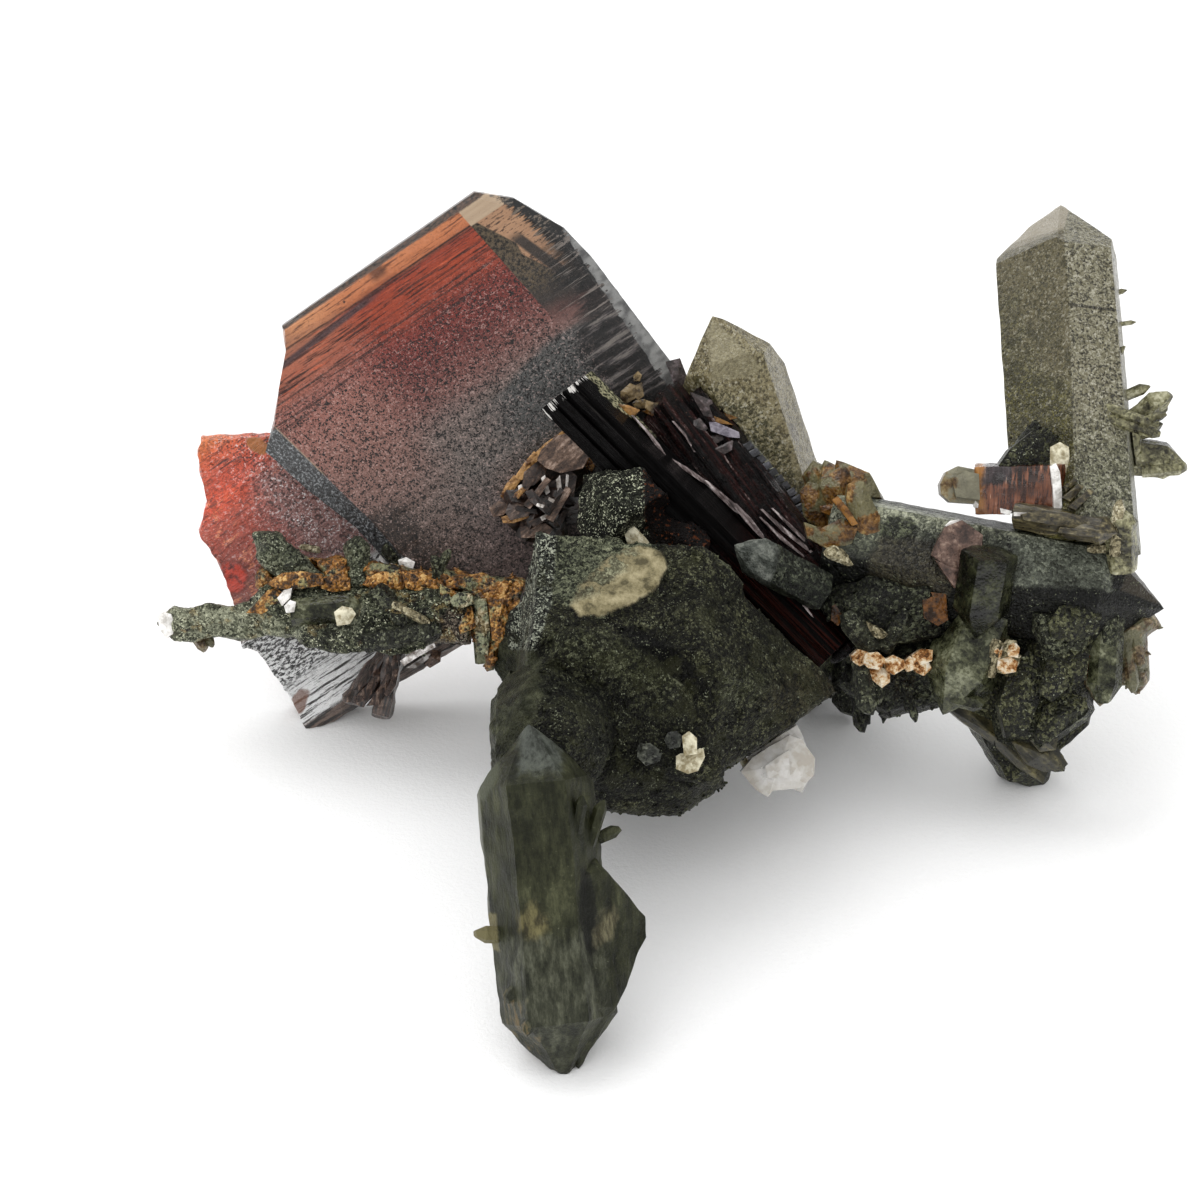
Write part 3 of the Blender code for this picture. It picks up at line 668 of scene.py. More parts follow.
def leg_material():
    g = Graph("quartz_leg", 0.85)
    z, x, y = axis_field(g, LEG_AXIS)
    veil = g.streaks(z * 0.5, x * 1.6, y * 1.6, 5, 0.7)
    clouds = g.noise(0.35, 3)
    grains = g.noise(6.0, 3, 0.7)
    tone = clouds * 0.4 + veil * 0.6 + (grains - 0.5) * 0.12
    g.colour = g.ramp(tone, (0.34, 0.46, 0.56, 0.72), "101208 232515 363824 5e6044")
    # painted light: the pointed top facet lighter grey, where it faces the light
    facet = g.zone("519,716 532,720 562,752 560,772 520,772", 0.3, 0.5)
    g.over(facet * 0.55, g.tint(veil, 0.35, 0.6, "30342f", "666b66"))
    lower = g.zone("500,1010 500,940 600,930 606,1000 560,1070 540,1050", 0.6, 0.9)
    g.over(lower * 0.5, g.ramp(veil, (0.36, 0.5, 0.66), "24261e 46483c 767868"))
    yellow = g.patch(Patch(534, 924, 1.1, 0.75, -60), 0.5, 0.5)
    g.over(yellow * 0.7, g.tint(veil, 0.4, 0.6, "3f3a26", "80784f"))
    g.over(g.patch(Patch(588, 912, 2.7, 0.45, -86)) * 0.8, "10110c")
    pale = g.patch(Patch(606, 925, 0.9, 0.5, 70), 0.5, 0.5)
    g.over(pale * 0.6, g.tint(veil, 0.4, 0.6, "4a4430", "8f8868"))
    strip = g.zone("470,915 470,770 477,770 490,915", 0.06, 0.1)
    g.over(strip * 0.6, g.mix(veil, "6a6c62", "a4a49c"))
    burr = g.zone("464,950 464,912 497,914 499,950", 0.1, 0.2)
    g.over(burr * 0.8, "7a7350")
    stub = g.zone("470,790 474,738 500,728 498,775 484,800", 0.15, 0.2)
    g.over(stub * 0.7, "565a48")
    rust = g.fade(veil, 0.5, 0.6) * g.zone("500,1000 510,985 556,1075 540,1080", 0.4, 0.9)
    g.over(rust * 0.8, "6a5838")
    g.over(g.fade(grains, 0.68, 0.74) * 0.6, "74765f")
    return g.finish(0.3 + veil * 0.25, [(veil * 0.3 + grains * 0.08, 0.8)], Specular_IOR_Level=0.22)


def rear_material():
    g = Graph("quartz_rear", 0.66)
    height, tone = granular(g, "5a4c2c 8f835d aea47e d0c8a6", 6.0, 0.35, 0.5, 0.6)
    facet = g.zone("712,384 706,330 716,322 756,360 760,378 730,380", 0.08, 0.1)
    g.over(facet * 0.45, "aaa283")
    green = g.zone("686,380 700,384 750,400 786,440 806,500 760,470", 0.6, 1.2)
    g.over(green * g.fade(tone, 0.62, 0.40) * 0.9, "4a4a2c")
    g.over(g.patch(Patch(794, 433, 0.62, 0.28, -65)), "241408")
    side = g.zone("752,385 776,352 812,470 800,475", 0.15, 0.3)
    g.over(side * 0.4, "b5a983")
    salted(g, 6.5, "2c260f", "f4f0de", 0.7, 0.4, 1.0 - facet * 0.6)
    return g.finish(0.2 + (1.0 - tone) * 0.2, [(height * 0.6, 0.6)], Transmission_Weight=0.12)


def upright_material():
    g = Graph("quartz_upright", 0.62)
    height, tone = granular(g, "6c6448 908a6c aaa58a cdc9b2", 6.0, 0.5, 0.35, 0.8)
    lower = g.along((0, 0, -1), seen(1040, 300))
    left = g.zone("985,560 990,250 1063,228 1069,302 1077,560", 0.06, 0.02)
    chlorite = g.fade(lower + (g.noise(0.4, 3) - 0.5) * 8.0, 0.0, 4.0)
    shaded = g.ramp(tone, (0.15, 0.42, 0.62, 0.85), "0e0d02 38350e 6c6626 aea65c")
    g.over(left * chlorite * 0.95, shaded)
    g.over(left * g.fade(chlorite, 1.0, 0.0) * 0.6, "756640")
    grey = g.ramp(tone, (0.15, 0.42, 0.62, 0.85), "24251a 66684e 8a8c70 b6b698")
    right = 1.0 - left
    g.over(right * g.fade(lower, 2.0, 6.5) * 0.8, grey)
    crack = g.zone("1068,306 1068,303 1112,308 1126,312 1112,311", 0.03, 0.02)
    g.over(crack * 0.8, "3a3628")
    seam = g.zone("1068,478 1068,320 1076,320 1084,478", 0.1, 0.3)
    g.over(seam * g.fade(lower, 4.0, 8.0) * 0.85, "17170f")
    # painted highlight: the narrow right facet, bright where it catches the light
    painted_highlight = g.zone("1106,250 1112,250 1126,300 1136,400 1130,400 1118,300", 0.08, 0.1)
    g.over(painted_highlight * 0.75, "dddcd4")
    # the top face: its warm beige, made lighter as painted light from above
    cap = g.zone("990,258 1040,200 1070,206 1064,229", 0.04, 0.02)
    g.over(cap * 0.8, "c2b7a2")
    flecked = 1.0 - cap
    salted(g, 7.5, "141107", "f4f0de", 0.85, 0.5, flecked)
    spots = g.fade(g.noise(0.7, 4, 0.7), 0.50, 0.58) * left * (1.0 - cap) * g.fade(lower, -1.0, 2.0)
    g.over(spots * g.fade(tone, 0.85, 0.45) * 0.85, "2a2812")
    g.over(left * 0.36, "524c0e")
    foot = g.fade(lower + (tone - 0.5) * 4.0, 11.0, 15.0)
    g.over(foot * 0.7, g.ramp(tone, (0.2, 0.5, 0.85), "0d0d08 33342a 7c7d6a"))
    return g.finish(0.2 + (1.0 - tone) * 0.25, [(height * 0.6, 0.7)], Transmission_Weight=0.1)


def long_point_material():
    g = Graph("quartz_long")
    height, tone = granular(g, "141510 2f3229 4d5043 7d806a", 5.5, 0.35, 0.8, 0.7)
    top = g.along((0, 0, 1), seen(960, 575))
    # the top face: a paler frosted surface, with painted light where it faces up
    frost_and_top_light = g.fade(top + (tone - 0.5) * 1.5, 0.6, 1.8)
    g.over(frost_and_top_light * 0.85, g.ramp(tone, (0.25, 0.5, 0.8), "5e6152 8a8d78 b4b69c"))
    salted(g, 5.0, "14150e", "d8dac4", 0.5, 0.35, frost_and_top_light)
    # painted shade: below the top face the crystal is near black, as over the cavity under it
    low = g.fade(top, 0.6, -0.6)
    g.over(low * 0.95, g.ramp(tone, (0.3, 0.6, 0.9), "010101 030302 12130d"))
    g.over(g.patch(Patch(898, 531, 1.1, 0.85, 0)) * 0.9, g.tint(tone, 0.4, 0.7, "101209", "525740"))
    brown = g.zone("866,560 880,538 944,540 950,600 870,604", 0.3, 0.6)
    g.over(brown * 0.9, g.ramp(tone, (0.25, 0.5, 0.8), "0c0b06 25221a 4c4838"))
    blue = g.zone("1008,586 1006,536 1060,540 1112,560 1112,590", 0.2, 0.3)
    g.over(blue * 0.85, g.ramp(tone, (0.2, 0.45, 0.65, 0.9), "1c1d16 42453c 63675b 9a9e8c"))
    crack = g.zone("1007,562 1007,536 1011,536 1011,562", 0.04, 0.1)
    g.over(crack * g.fade(tone, 0.65, 0.5), "0c0c08")
    end = g.zone("1120,592 1130,562 1166,608 1146,600", 0.1, 0.1)
    g.over(end * 0.8, "3b352b")
    glinted(g, 8.0, "6c705a", 0.05, low)
    return g.finish(0.24 + (1.0 - tone) * 0.2, [(height * 0.7, 0.7)], Specular_IOR_Level=0.3)


def green_material(name, codes, gain=1.0, grain=5.5, glint=None):
    """Granular quartz with glints (colour code, share)."""
    g = Graph(name, gain)
    height, tone = granular(g, codes, grain, 0.65, 0.8, 0.8)
    if glint:
        glinted(g, 6.5, *glint)
    return g.finish(0.3 + (1.0 - tone) * 0.2, [(height, 0.9)], Specular_IOR_Level=0.35)


def stained_material(name, codes, rock, share, gain=1.0, transmission=0.0, glassy=0.0):
    """Iron-stained quartz: four stain colours, dark to light, over rock; glassy is how smooth it is."""
    g = Graph(name, gain)
    value, distance = g.cells(6.0)
    coarse = g.noise(0.8, 4, 0.6)
    fine = g.noise(6.5, 3, 0.75)
    rough = 1.0 - glassy * 0.7
    clouds = (g.noise(1.3, 4, 0.65) - 0.5) * 1.4
    tone = (value - 0.5) * 0.4 * rough + (fine - 0.5) * 0.8 * rough + clouds + 0.5
    rust = g.ramp(tone, (0.15, 0.42, 0.62, 0.85), codes)
    stone = g.shade(rock, tone + 0.5) if glassy else g.tint(tone, 0.3, 0.7, "14140d", rock)
    g.colour = g.mix(g.fade(coarse, 0.62 - share * 0.3, 0.72 - share * 0.3), stone, rust)
    relief = (1.0 - distance) * 0.12 * rough + fine * 0.05 * rough
    shine = 0.3 - glassy * 0.12 + fine * 0.3
    return g.finish(shine, [(relief, 0.9)], Transmission_Weight=transmission)


def glassy_material(name, codes, gain=1.0):
    """Smooth green quartz with veils and few grains, from four colours, dark to light."""
    g = Graph(name, gain)
    veil = g.noise(1.1, 4, 0.65)
    clouds = g.noise(0.45, 3)
    value, distance = g.cells(6.0)
    tone = veil * 0.6 + clouds * 0.5 + (value - 0.5) * 0.12
    g.colour = g.ramp(tone, (0.42, 0.52, 0.61, 0.72), codes)
    g.over(g.fade(g.noise(7.0, 2), 0.36, 0.28) * 0.7, "0c0d08")
    relief = veil * 0.2 + (1.0 - distance) * 0.04
    return g.finish(0.15 + veil * 0.25, [(relief, 0.7)], Specular_IOR_Level=0.4)


def left_cluster_material():
    g = Graph("quartz_left_cluster")
    height, tone = granular(g, "0c0d08 282b1f 50543f 9a9d80", 6.5, 0.6, 0.8, 1.0)
    bar = g.zone("150,660 150,604 262,606 300,636 300,652 250,652", 0.3, 0.5)
    g.over(bar * 0.9, g.ramp(tone, (0.15, 0.5, 0.85), "26281c 6c6f5a a8aa92"))
    body = g.zone("352,600 366,584 440,590 446,640 360,650", 0.3, 0.5)
    g.over(body * 0.8, g.ramp(tone, (0.2, 0.5, 0.85), "050604 1c1f15 5a5e4a"))
    clear = g.zone("296,632 298,594 340,590 364,606 360,632", 0.3, 0.4)
    g.over(clear * 0.8, g.ramp(tone, (0.2, 0.5, 0.85), "23261c 5c6050 9a9d88"))
    brown = g.zone("434,640 446,608 480,608 480,656 436,656", 0.3, 0.6)
    g.over(brown * 0.8, g.ramp(tone, (0.2, 0.5, 0.85), "150f0b 4a3d34 a09080"))
    ochre = g.fade(g.noise(0.8, 3), 0.54, 0.62)
    g.over(ochre * 0.5, g.tint(tone, 0.3, 0.7, "3a2a12", "9a8450"))
    glinted(g, 7.0, "c8caae", 0.35)
    return g.finish(0.34 + (1.0 - tone) * 0.2, [(height, 0.9)], Specular_IOR_Level=0.3)


def feldspar_material():
    g = Graph("feldspar")
    stain = g.noise(1.6, 4, 0.65)
    fine = g.noise(6.5, 3, 0.75)
    tone = stain + (fine - 0.5) * 0.35
    g.colour = g.ramp(tone, (0.34, 0.42, 0.49, 0.56, 0.7), "4a2c10 96602a c9a678 dccdb2 f0e8d8")
    return g.finish(0.35 + fine * 0.2, [(fine * 0.12 + stain * 0.2, 0.9)], Specular_IOR_Level=0.3)


def pale_material(name, low, high, transmission=0.0, gain=1.0, grain=5.0, veils=1.4):
    """Pale quartz or feldspar, with faint veils."""
    g = Graph(name, gain)
    veil = g.noise(veils, 4, 0.6)
    value, distance = g.cells(grain)
    g.colour = g.mix(g.fade(veil + (value - 0.5) * 0.1, 0.36, 0.64), low, high)
    relief = veil * 0.15 + (1.0 - distance) * 0.05
    return g.finish(0.14 + veil * 0.2, [(relief, 0.7)], Transmission_Weight=transmission)


# Shapes

WELD = 0.002  # millimetres within which corners of the CAD mesh are one
FLAT_ANGLE = 0.01  # radians between faces that are one plane
SHARP_ANGLE = 0.3
ROUNDS = 9  # of splitting edges at most
ROOT_DEPTH = 0.5  # millimetres of a small crystal that are sunk in its carrier


def cad_shape(*nodes):
    """The CAD meshes of these nodes in one bmesh, with their sharp edges marked."""
    shape = bmesh.new()
    for node in nodes:
        shape.from_mesh(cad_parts[node].data)
    bmesh.ops.remove_doubles(shape, verts=shape.verts, dist=WELD * MM)
    bmesh.ops.dissolve_limit(shape, angle_limit=FLAT_ANGLE, verts=shape.verts, edges=shape.edges)
    for edge in shape.edges:
        edge.smooth = not edge.is_manifold or edge.calc_face_angle(0) < SHARP_ANGLE
    return shape


def refine(shape, length):
    """Splits every edge that is longer than length."""
    for _ in range(ROUNDS):
        bmesh.ops.triangulate(shape, faces=shape.faces, quad_method="BEAUTY", ngon_method="BEAUTY")
        long_edges = [edge for edge in shape.edges if edge.calc_length() > length * MM]
        if not long_edges:
            break
        bmesh.ops.subdivide_edges(shape, edges=long_edges, cuts=1, use_grid_fill=False)
    return shape


def push(shape, swell, relief=None):
    """Moves each vertex out by swell plus the relief at its place, in millimetres."""
    shape.normal_update()
    moves = []
    for vertex in shape.verts:
        place = vertex.co / MM + MIDDLE
        moves.append(vertex.normal * (swell + (relief(place) if relief else 0.0)) * MM)
    for vertex, move in zip(shape.verts, moves):
        vertex.co += move
        vertex.co.z = max(vertex.co.z, 0.0)
    return shape


def rough_relief(*layers):
    """A relief from layers of (size in mm, height in mm)."""

    def relief(place):
        return sum(noise.noise(place / size) * height for size, height in layers)

    return relief


def grain_relief(size, height, base):
    """A relief of rounded grains on top of another relief."""

    def relief(place):
        return base(place) + (0.45 - noise.voronoi(place / size)[0][0]) * height

    return relief


STEP_WIDTH = 5.0  # pixels over which a terrace rises
STEP_MARGIN = 9  # pixels beside an outline beyond which it has no effect


def terraces(base, *steps):
    """A relief with steps: (outline in the picture, height, share of the base relief that stays)."""
    steps = [(outline(corners), rise, share) for corners, rise, share in steps]

    def relief(place):
        spot = in_picture(place)
        height, kept = 0.0, 1.0
        for corners, rise, share in steps:
            across = [x for x, _ in corners]
            if min(across) - STEP_MARGIN < spot.x < max(across) + STEP_MARGIN:
                inside = min(max(depth_inside(corners, spot) / STEP_WIDTH + 0.5, 0.0), 1.0)
                height += inside * rise
                kept *= 1.0 - inside * (1.0 - share)
        return base(place) * kept + height

    return relief


DRAWN_OUT = 0.94  # share of a place's distance along the axis that the lines ignore


def lined_relief(axis, across, height, rough):
    """A relief of lines along an axis, with some roughness."""
    axis = Vector(axis).normalized()

    def relief(place):
        squeezed = place - axis * place.dot(axis) * DRAWN_OUT
        return noise.noise(squeezed / across) * height + noise.noise(place / 0.5) * rough

    return relief


def remeshed(shape, voxel):
    """The shape as one skin of even quads."""
    mesh = bpy.data.meshes.new("skin")
    shape.to_mesh(mesh)
    shape.free()
    obj = bpy.data.objects.new("skin", mesh)
    bpy.context.scene.collection.objects.link(obj)
    modifier = obj.modifiers.new("skin", "REMESH")
    modifier.mode = "VOXEL"
    modifier.voxel_size = voxel * MM
    graph = bpy.context.evaluated_depsgraph_get()
    result = bmesh.new()
    result.from_mesh(obj.evaluated_get(graph).data)
    bpy.data.objects.remove(obj)
    bpy.data.meshes.remove(mesh)
    return result


class Heap:
    """Many small closed shapes that become one mesh; places are in millimetres and specimen axes."""

    def __init__(self):
        self.corners = []
        self.faces = []

    def add(self, corners, faces):
        start = len(self.corners)
        self.corners += [(corner - MIDDLE) * MM for corner in corners]
        self.faces += [[start + index for index in face] for face in faces]

    def into(self, shape):
        """Adds the shapes to a bmesh, flat-faced."""
        mesh = bpy.data.meshes.new("heap")
        mesh.from_pydata([tuple(corner) for corner in self.corners], [], self.faces)
        first_face = len(shape.faces)
        shape.from_mesh(mesh)
        bpy.data.meshes.remove(mesh)
        shape.faces.ensure_lookup_table()
        for face in shape.faces[first_face:]:
            for edge in face.edges:
                edge.smooth = False
            for vertex in face.verts:
                vertex.co.z = max(vertex.co.z, 0.0)
        return shape


PRISM_FACES = (
    [[k, (k + 1) % 6, 6 + (k + 1) % 6, 6 + k] for k in range(6)]
    + [[6 + k, 6 + (k + 1) % 6, 12 + (k + 1) % 6, 12 + k] for k in range(6)]
    + [[5, 4, 3, 2, 1, 0], [12, 13, 14, 15, 16, 17]]
)


FOOT_SHARE = 0.93  # width of a crystal's foot
UNEVEN = 0.25  # how much its sides differ
SLANT = 0.18  # how much a blunt end is slanted
NEEDLE = 0.03  # width of the sharpest end
LONGEST_CAP = 0.55  # share of the length


def add_crystal(heap, root, tip, width, flat, blunt, turn=0.0):
    """A six-sided crystal from root to tip, with uneven faces and a pyramid or a blunt end."""
    length = (tip - root).length
    axis = (tip - root) / length
    side = axis.cross(BACK)
    side = side.normalized() if side.length > 0.1 else Vector((1, 0, 0))
    front = side.cross(axis)
    cap = min(LONGEST_CAP * length, 0.75 * width * (1 - blunt) + 0.1)
    corners = []
    for distance, share in ((0, FOOT_SHARE), (length - cap, 1.0), (length, max(blunt, NEEDLE))):
        for k in range(6):
            angle = turn + k * math.pi / 3
            uneven = 1 + UNEVEN * noise.noise(root * 3.7 + Vector((k, 0, 0)))
            reach = 0.5 * width * share * uneven
            slant = SLANT * width * blunt * math.cos(angle + root.x) if share < FOOT_SHARE else 0.0
            outward = side * math.cos(angle) * reach
            forward = front * math.sin(angle) * reach * flat
            corners.append(root + axis * (distance + slant) + outward + forward)
    heap.add(corners, PRISM_FACES)


def grown(growths):
    """A heap with the crystals that a dictionary of growths describes."""
    heap = Heap()
    for growth in growths.values():
        start, end = outline(growth.line)
        foot = seen(*start)
        tip = level_with(foot, *end, growth.toward)
        root = foot - (tip - foot).normalized() * ROOT_DEPTH
        add_crystal(heap, root, tip, growth.width, growth.flat, growth.blunt)
    return heap


# A flake: its outline in the picture, how far its front is lifted toward the camera, its thickness and
# the bulge of its front in millimetres, and how much the lift grows in ten pixels across and down
Flake = namedtuple("Flake", "corners lift thickness bulge tilt", defaults=((0.0, 0.0),))


def add_flake(heap, flake):
    """A faceted flake with this outline in the picture; its thickness reaches into what carries it."""
    places = outline(flake.corners)
    count = len(places)
    x0 = sum(x for x, _ in places) / count
    y0 = sum(y for _, y in places) / count
    middle = seen(x0, y0)
    slope_x, slope_y = flake.tilt
    front = []
    for x, y in places:
        lift = flake.lift + slope_x * (x - x0) / 10 + slope_y * (y - y0) / 10
        front.append(level_with(middle, x, y, lift))
    apex = level_with(middle, x0 - 1, y0 - 2, flake.lift + flake.bulge)
    corners = front + [corner - BACK * flake.thickness for corner in front] + [apex]
    faces = [[k, (k + 1) % count, 2 * count] for k in range(count)]
    faces += [[count + k, count + (k + 1) % count, (k + 1) % count, k] for k in range(count)]
    faces.append(list(reversed(range(count, 2 * count))))
    area = sum(a[0] * b[1] - b[0] * a[1] for a, b in sides(places))
    if area > 0:
        faces = [list(reversed(face)) for face in faces]
    heap.add(corners, faces)


def flaked(flakes):
    """A heap with the flakes of a dictionary."""
    heap = Heap()
    for flake in flakes.values():
        add_flake(heap, flake)
    return heap


def grain_forms():
    """Six small faceted lumps of unit size."""
    source = random.Random(11)
    forms = []
    for _ in range(6):
        lump = bmesh.new()
        for _ in range(13):
            place = Vector([source.gauss(0, 1) for _ in range(3)]).normalized()
            lump.verts.new(place * source.uniform(0.4, 0.52))
        bmesh.ops.convex_hull(lump, input=lump.verts)
        inner = [vertex for vertex in lump.verts if not vertex.link_faces]
        bmesh.ops.delete(lump, geom=inner, context="VERTS")
        bmesh.ops.recalc_face_normals(lump, faces=lump.faces)
        lump.verts.index_update()
        corners = [vertex.co.copy() for vertex in lump.verts]
        forms.append((corners, [[vertex.index for vertex in face.verts] for face in lump.faces]))
        lump.free()
    return forms


GRAINS = grain_forms()


def add_grain(heap, place, size, source):
    corners, faces = source.choice(GRAINS)
    turn = Quaternion([source.gauss(0, 1) for _ in range(4)]).normalized()
    heap.add([place + turn @ Vector([c * size for c in corner]) for corner in corners], faces)


LEAN = 0.8  # how far sown crystals lean from the face that carries them


def sow(shape, count, sizes, seed, points, patch=None):
    """Adds grains and small crystals over a shape; points is the share of crystals."""
    source = random.Random(seed)
    faces = list(shape.faces)
    shape.normal_update()
    chosen = source.choices(faces, weights=[face.calc_area() for face in faces], k=count)
    heap = Heap()
    for face in chosen:
        place = face.calc_center_median() / MM + MIDDLE
        size = source.uniform(*sizes)
        if patch and not patch(place):
            continue
        if source.random() < points:
            lean = Vector([source.uniform(-LEAN, LEAN) for _ in range(3)])
            direction = (face.normal + lean).normalized()
            tip = place + direction * size * source.uniform(0.4, 0.9)
            blunt = source.choice((0.3, 0.6))
            add_crystal(heap, place - direction * size * 0.5, tip, size * 0.75, 1.0, blunt, source.random())
        else:
            add_grain(heap, place, size, source)
    return heap.into(shape)


def piece(name, shape, material, nodes):
    """Makes an object of a shape, in place of the CAD bodies of these nodes."""
    mesh = bpy.data.meshes.new(name)
    for face in shape.faces:
        face.smooth = True
    shape.to_mesh(mesh)
    shape.free()
    mesh.materials.append(material)
    obj = bpy.data.objects.new(name, mesh)
    bpy.context.scene.collection.objects.link(obj)
    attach(obj, "root")
    if nodes:
        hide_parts(*nodes)


def rock_shape(nodes, voxel, swell, relief):
    return push(remeshed(push(cad_shape(*nodes), swell), voxel), 0.0, relief)


def crystal_piece(name, node, material, slot, length, swell, relief=None, heap=None):
    """A worn crystal of a CAD node, with a heap of small crystals where one is given."""
    shape = push(refine(cad_shape(node), length), swell, relief)
    if heap:
        heap.into(shape)
    piece(name, shape, material, [node])


def growth_piece(name, growths, material):
    piece(name, grown(growths).into(bmesh.new()), material, [])


def flake_piece(name, flakes, material, slot, nodes=()):
    piece(name, flaked(flakes).into(bmesh.new()), material, nodes)


# Brookite


def make_brookite():
    ribs = lined_relief((-11.6, 10.2, 11.6), 0.45, 0.25, 0.06)
    crystals = {
        "main_plate": (main_plate_material(), "red", 0.4, 0.0, lined_relief(PLATE_U, 0.5, 0.03, 0.02)),
        "lower_plate": (lower_plate_material(), "red", 0.35, 0.0, lined_relief(PLATE_U, 0.5, 0.14, 0.08)),
        "striated_prism": (prism_material(), "dark", 0.5, 0.05),
        "blade_bundle": (dark_blade_material(), "dark", 0.35, 0.16, ribs),
    }
    for name, (material, slot, *form) in crystals.items():
        crystal_piece(name, "brookite_" + name, material, "brookite_" + slot, *form)
    # The crests' silvery colour is a painted highlight, where the ridges catch the light
    silver_sheen = lined_material("brookite_crest_sheen", "0c0706 4a3c3a 8c7e7c cfc6c4", BLADES_AXIS, 0.3, 4.0)
    flake_piece("blade_crests", BLADE_CRESTS, silver_sheen, "brookite_dark")
    flake_piece("lilac_bar", LILAC_BAR, pale_material("lilac_glint", "55505a", "8c8690"), "brookite_dark")
    folds = lined_material("brookite_folds", "0a0706 261c1b 443836 72666a", BLADES_BACK, 2.0, 2.0)
    flake_piece("blade_folds", BLADE_FOLDS, folds, "brookite_dark")
    slate = lined_material("brookite_slate", "08080a 1c1c20 34343a 5a5a60", BLADES_BACK, 3.0, 0.5)
    flake_piece("ladder_steps", LADDER_STEPS, slate, "brookite_dark")
    strip = glassy_material("strip", "22221a 45463a 6b6b5a 8b8b78")
    flake_piece("side_strip", SIDE_STRIP, strip, "quartz_green")
    flake_piece("plate_lumps", PLATE_LUMPS, pale_material("plate_lump", "33281d", "83704f"), "feldspar")
    flake_piece("plate_rust", PLATE_RUST, pale_material("plate_rust", "462c0e", "946c38"), "iron_stain")

    small = small_brown_material()
    relief = rough_relief((0.6, 0.08))
    crystal_piece("small_brown", "brookite_small_crystal", small, "brookite_brown", 0.3, 0.1, relief)
    # Its pale flakes are partly painted highlights, where facets catch the light
    white = pale_material("white_glint", "b8b4ae", "f4f2ee")
    flake_piece("glints_and_pale_facets", GLINTS_AND_PALE_FACETS, white, "quartz_clear")
    pink = lined_material("brookite_pink", "241712 483329 695044 96806f", PINK_AXIS, 1.4, 1.4)
    flake_piece("pink_flake", PINK_FLAKE, pink, "brookite_brown", ["brookite_pink_flake"])

    torn = rough_relief((0.8, 0.2))
    under = lined_material("brookite_under", "040302 120b08 281a14 55433a", FLAKES_AXIS, 1.0, 2.0)
    flakes = lined_material("brookite_flakes", "140c08 3e2c22 6a5242 a68e7e", FLAKES_AXIS, 0.8, 2.6)
    shade = lined_material("brookite_shade", "060403 2a1b14 4a372b 8c7666", FLAKES_AXIS, 0.8, 2.6)
    fan = lined_material("brookite_fan", "060302 1a0f0a 443026 8a7464", FAN_AXIS, 0.4, 4.5)
    brown_flakes = {
        "flake_blades": (FLAKE_BLADES, flakes),
        "flake_shade": (FLAKE_SHADE, shade),
        "flake_dark": (FLAKE_DARK, under),
        "flake_glints": (FLAKE_GLINTS, pale_material("flake_glint", "857c74", "e6e0da")),
        "flake_ribbon": (FLAKE_RIBBON, pale_material("flake_ribbon", "4a2a10", "c0935c", grain=6.5)),
    }
    fan_flakes = {
        "fan_blades": (FAN_BLADES, fan),
        "fan_clumps": (FAN_CLUMPS, flakes),
        "strip_glints": (STRIP_GLINTS, pale_material("strip_glint", "6a5f58", "efebe8")),
    }
    for name, material, carried in (("flake_cluster", under, brown_flakes), ("blade_fan", fan, fan_flakes)):
        crystal_piece(name, "brookite_" + name, material, "brookite_brown", 0.3, 0.1, torn)
        for part, (table, look) in carried.items():
            flake_piece(part, table, look, "brookite_brown")


BLADE_CRESTS = {
    "middle crest 1": Flake(
        "631,415 633,415 648,430 660,445 667,457 664,457 656,446 646,432",
        0.45, 0.9, 0.03,
    ),
    "middle crest 2": Flake("667,457 671,458 687,467 704,479 710,486 700,481 684,470", 0.5, 0.9, 0.05),
    "middle crest 3": Flake("700,478 708,481 726,496 742,509 746,518 734,511 716,494", 0.55, 0.9, 0.08),
    "middle crest 4": Flake("730,501 737,504 751,518 763,534 766,541 758,535 745,521", 0.5, 0.9, 0.08),
    "upper crest 1": Flake("760,509 763,509 786,529 808,547 826,563 805,549 783,532", 0.6, 0.9, 0.03),
    "upper crest 2": Flake("759,517 761,517 784,538 806,557 815,565 801,555 781,540", 0.5, 0.9, 0.03),
    "upper crest 3": Flake("771,508 773,508 796,529 818,550 824,557 809,546 791,529", 0.4, 0.9, 0.03),
    "curved line": Flake("672,421 674,421 689,437 697,452 694,452 685,437", 0.4, 0.7, 0.03),
    "lower crest 1": Flake("790,590 793,591 804,602 814,618 811,616 800,602", 0.4, 0.7, 0.03),
}
BLADE_FOLDS = {
    "fold 1": Flake("704,438 720,434 726,438 712,446", 0.3, 0.8, 0.1),
    "fold 2": Flake("712,450 732,440 738,446 722,456", 0.35, 0.8, 0.1),
    "fold 3": Flake("684,424 700,418 708,428 696,440", 0.3, 0.8, 0.15),
    "dark face 1": Flake("664,362 680,358 690,384 686,398 672,388", 0.35, 0.8, 0.12),
    "dark face 2": Flake("690,392 712,400 716,418 704,416", 0.3, 0.8, 0.12),
}

PINK_FLAKE = {
    "upper": Flake("932,555 938,540 945,527 962,520 983,535 981,556 966,572 948,568", 0.5, 1.0, 0.12),
    "lower": Flake("936,560 948,566 964,571 962,584 955,588 944,573", 0.35, 0.9, 0.08),
}

LADDER_RUN, LADDER_FALL = 6.2, 6.6  # pixels from a step to the next
LADDER_STEPS = {
    f"step {k}": Flake(
        f"{734 + LADDER_RUN * k},{449 + LADDER_FALL * k} {750 + LADDER_RUN * k},{441 + LADDER_FALL * k} "
        f"{755 + 6.0 * k},{447 + LADDER_FALL * k} {739 + LADDER_RUN * k},{455 + LADDER_FALL * k}",
        0.5 + 0.12 * (k % 2), 0.9, 0.05,
    )
    for k in range(11)
}

LILAC_BAR = {
    "bar": Flake("709,422 716,422 739,432 740,438 728,437 711,431", 0.55, 0.9, 0.05),
}

SIDE_STRIP = {
    "strip": Flake("742,440 750,438 772,466 794,492 798,506 790,502 764,472", 0.2, 0.8, 0.1),
}

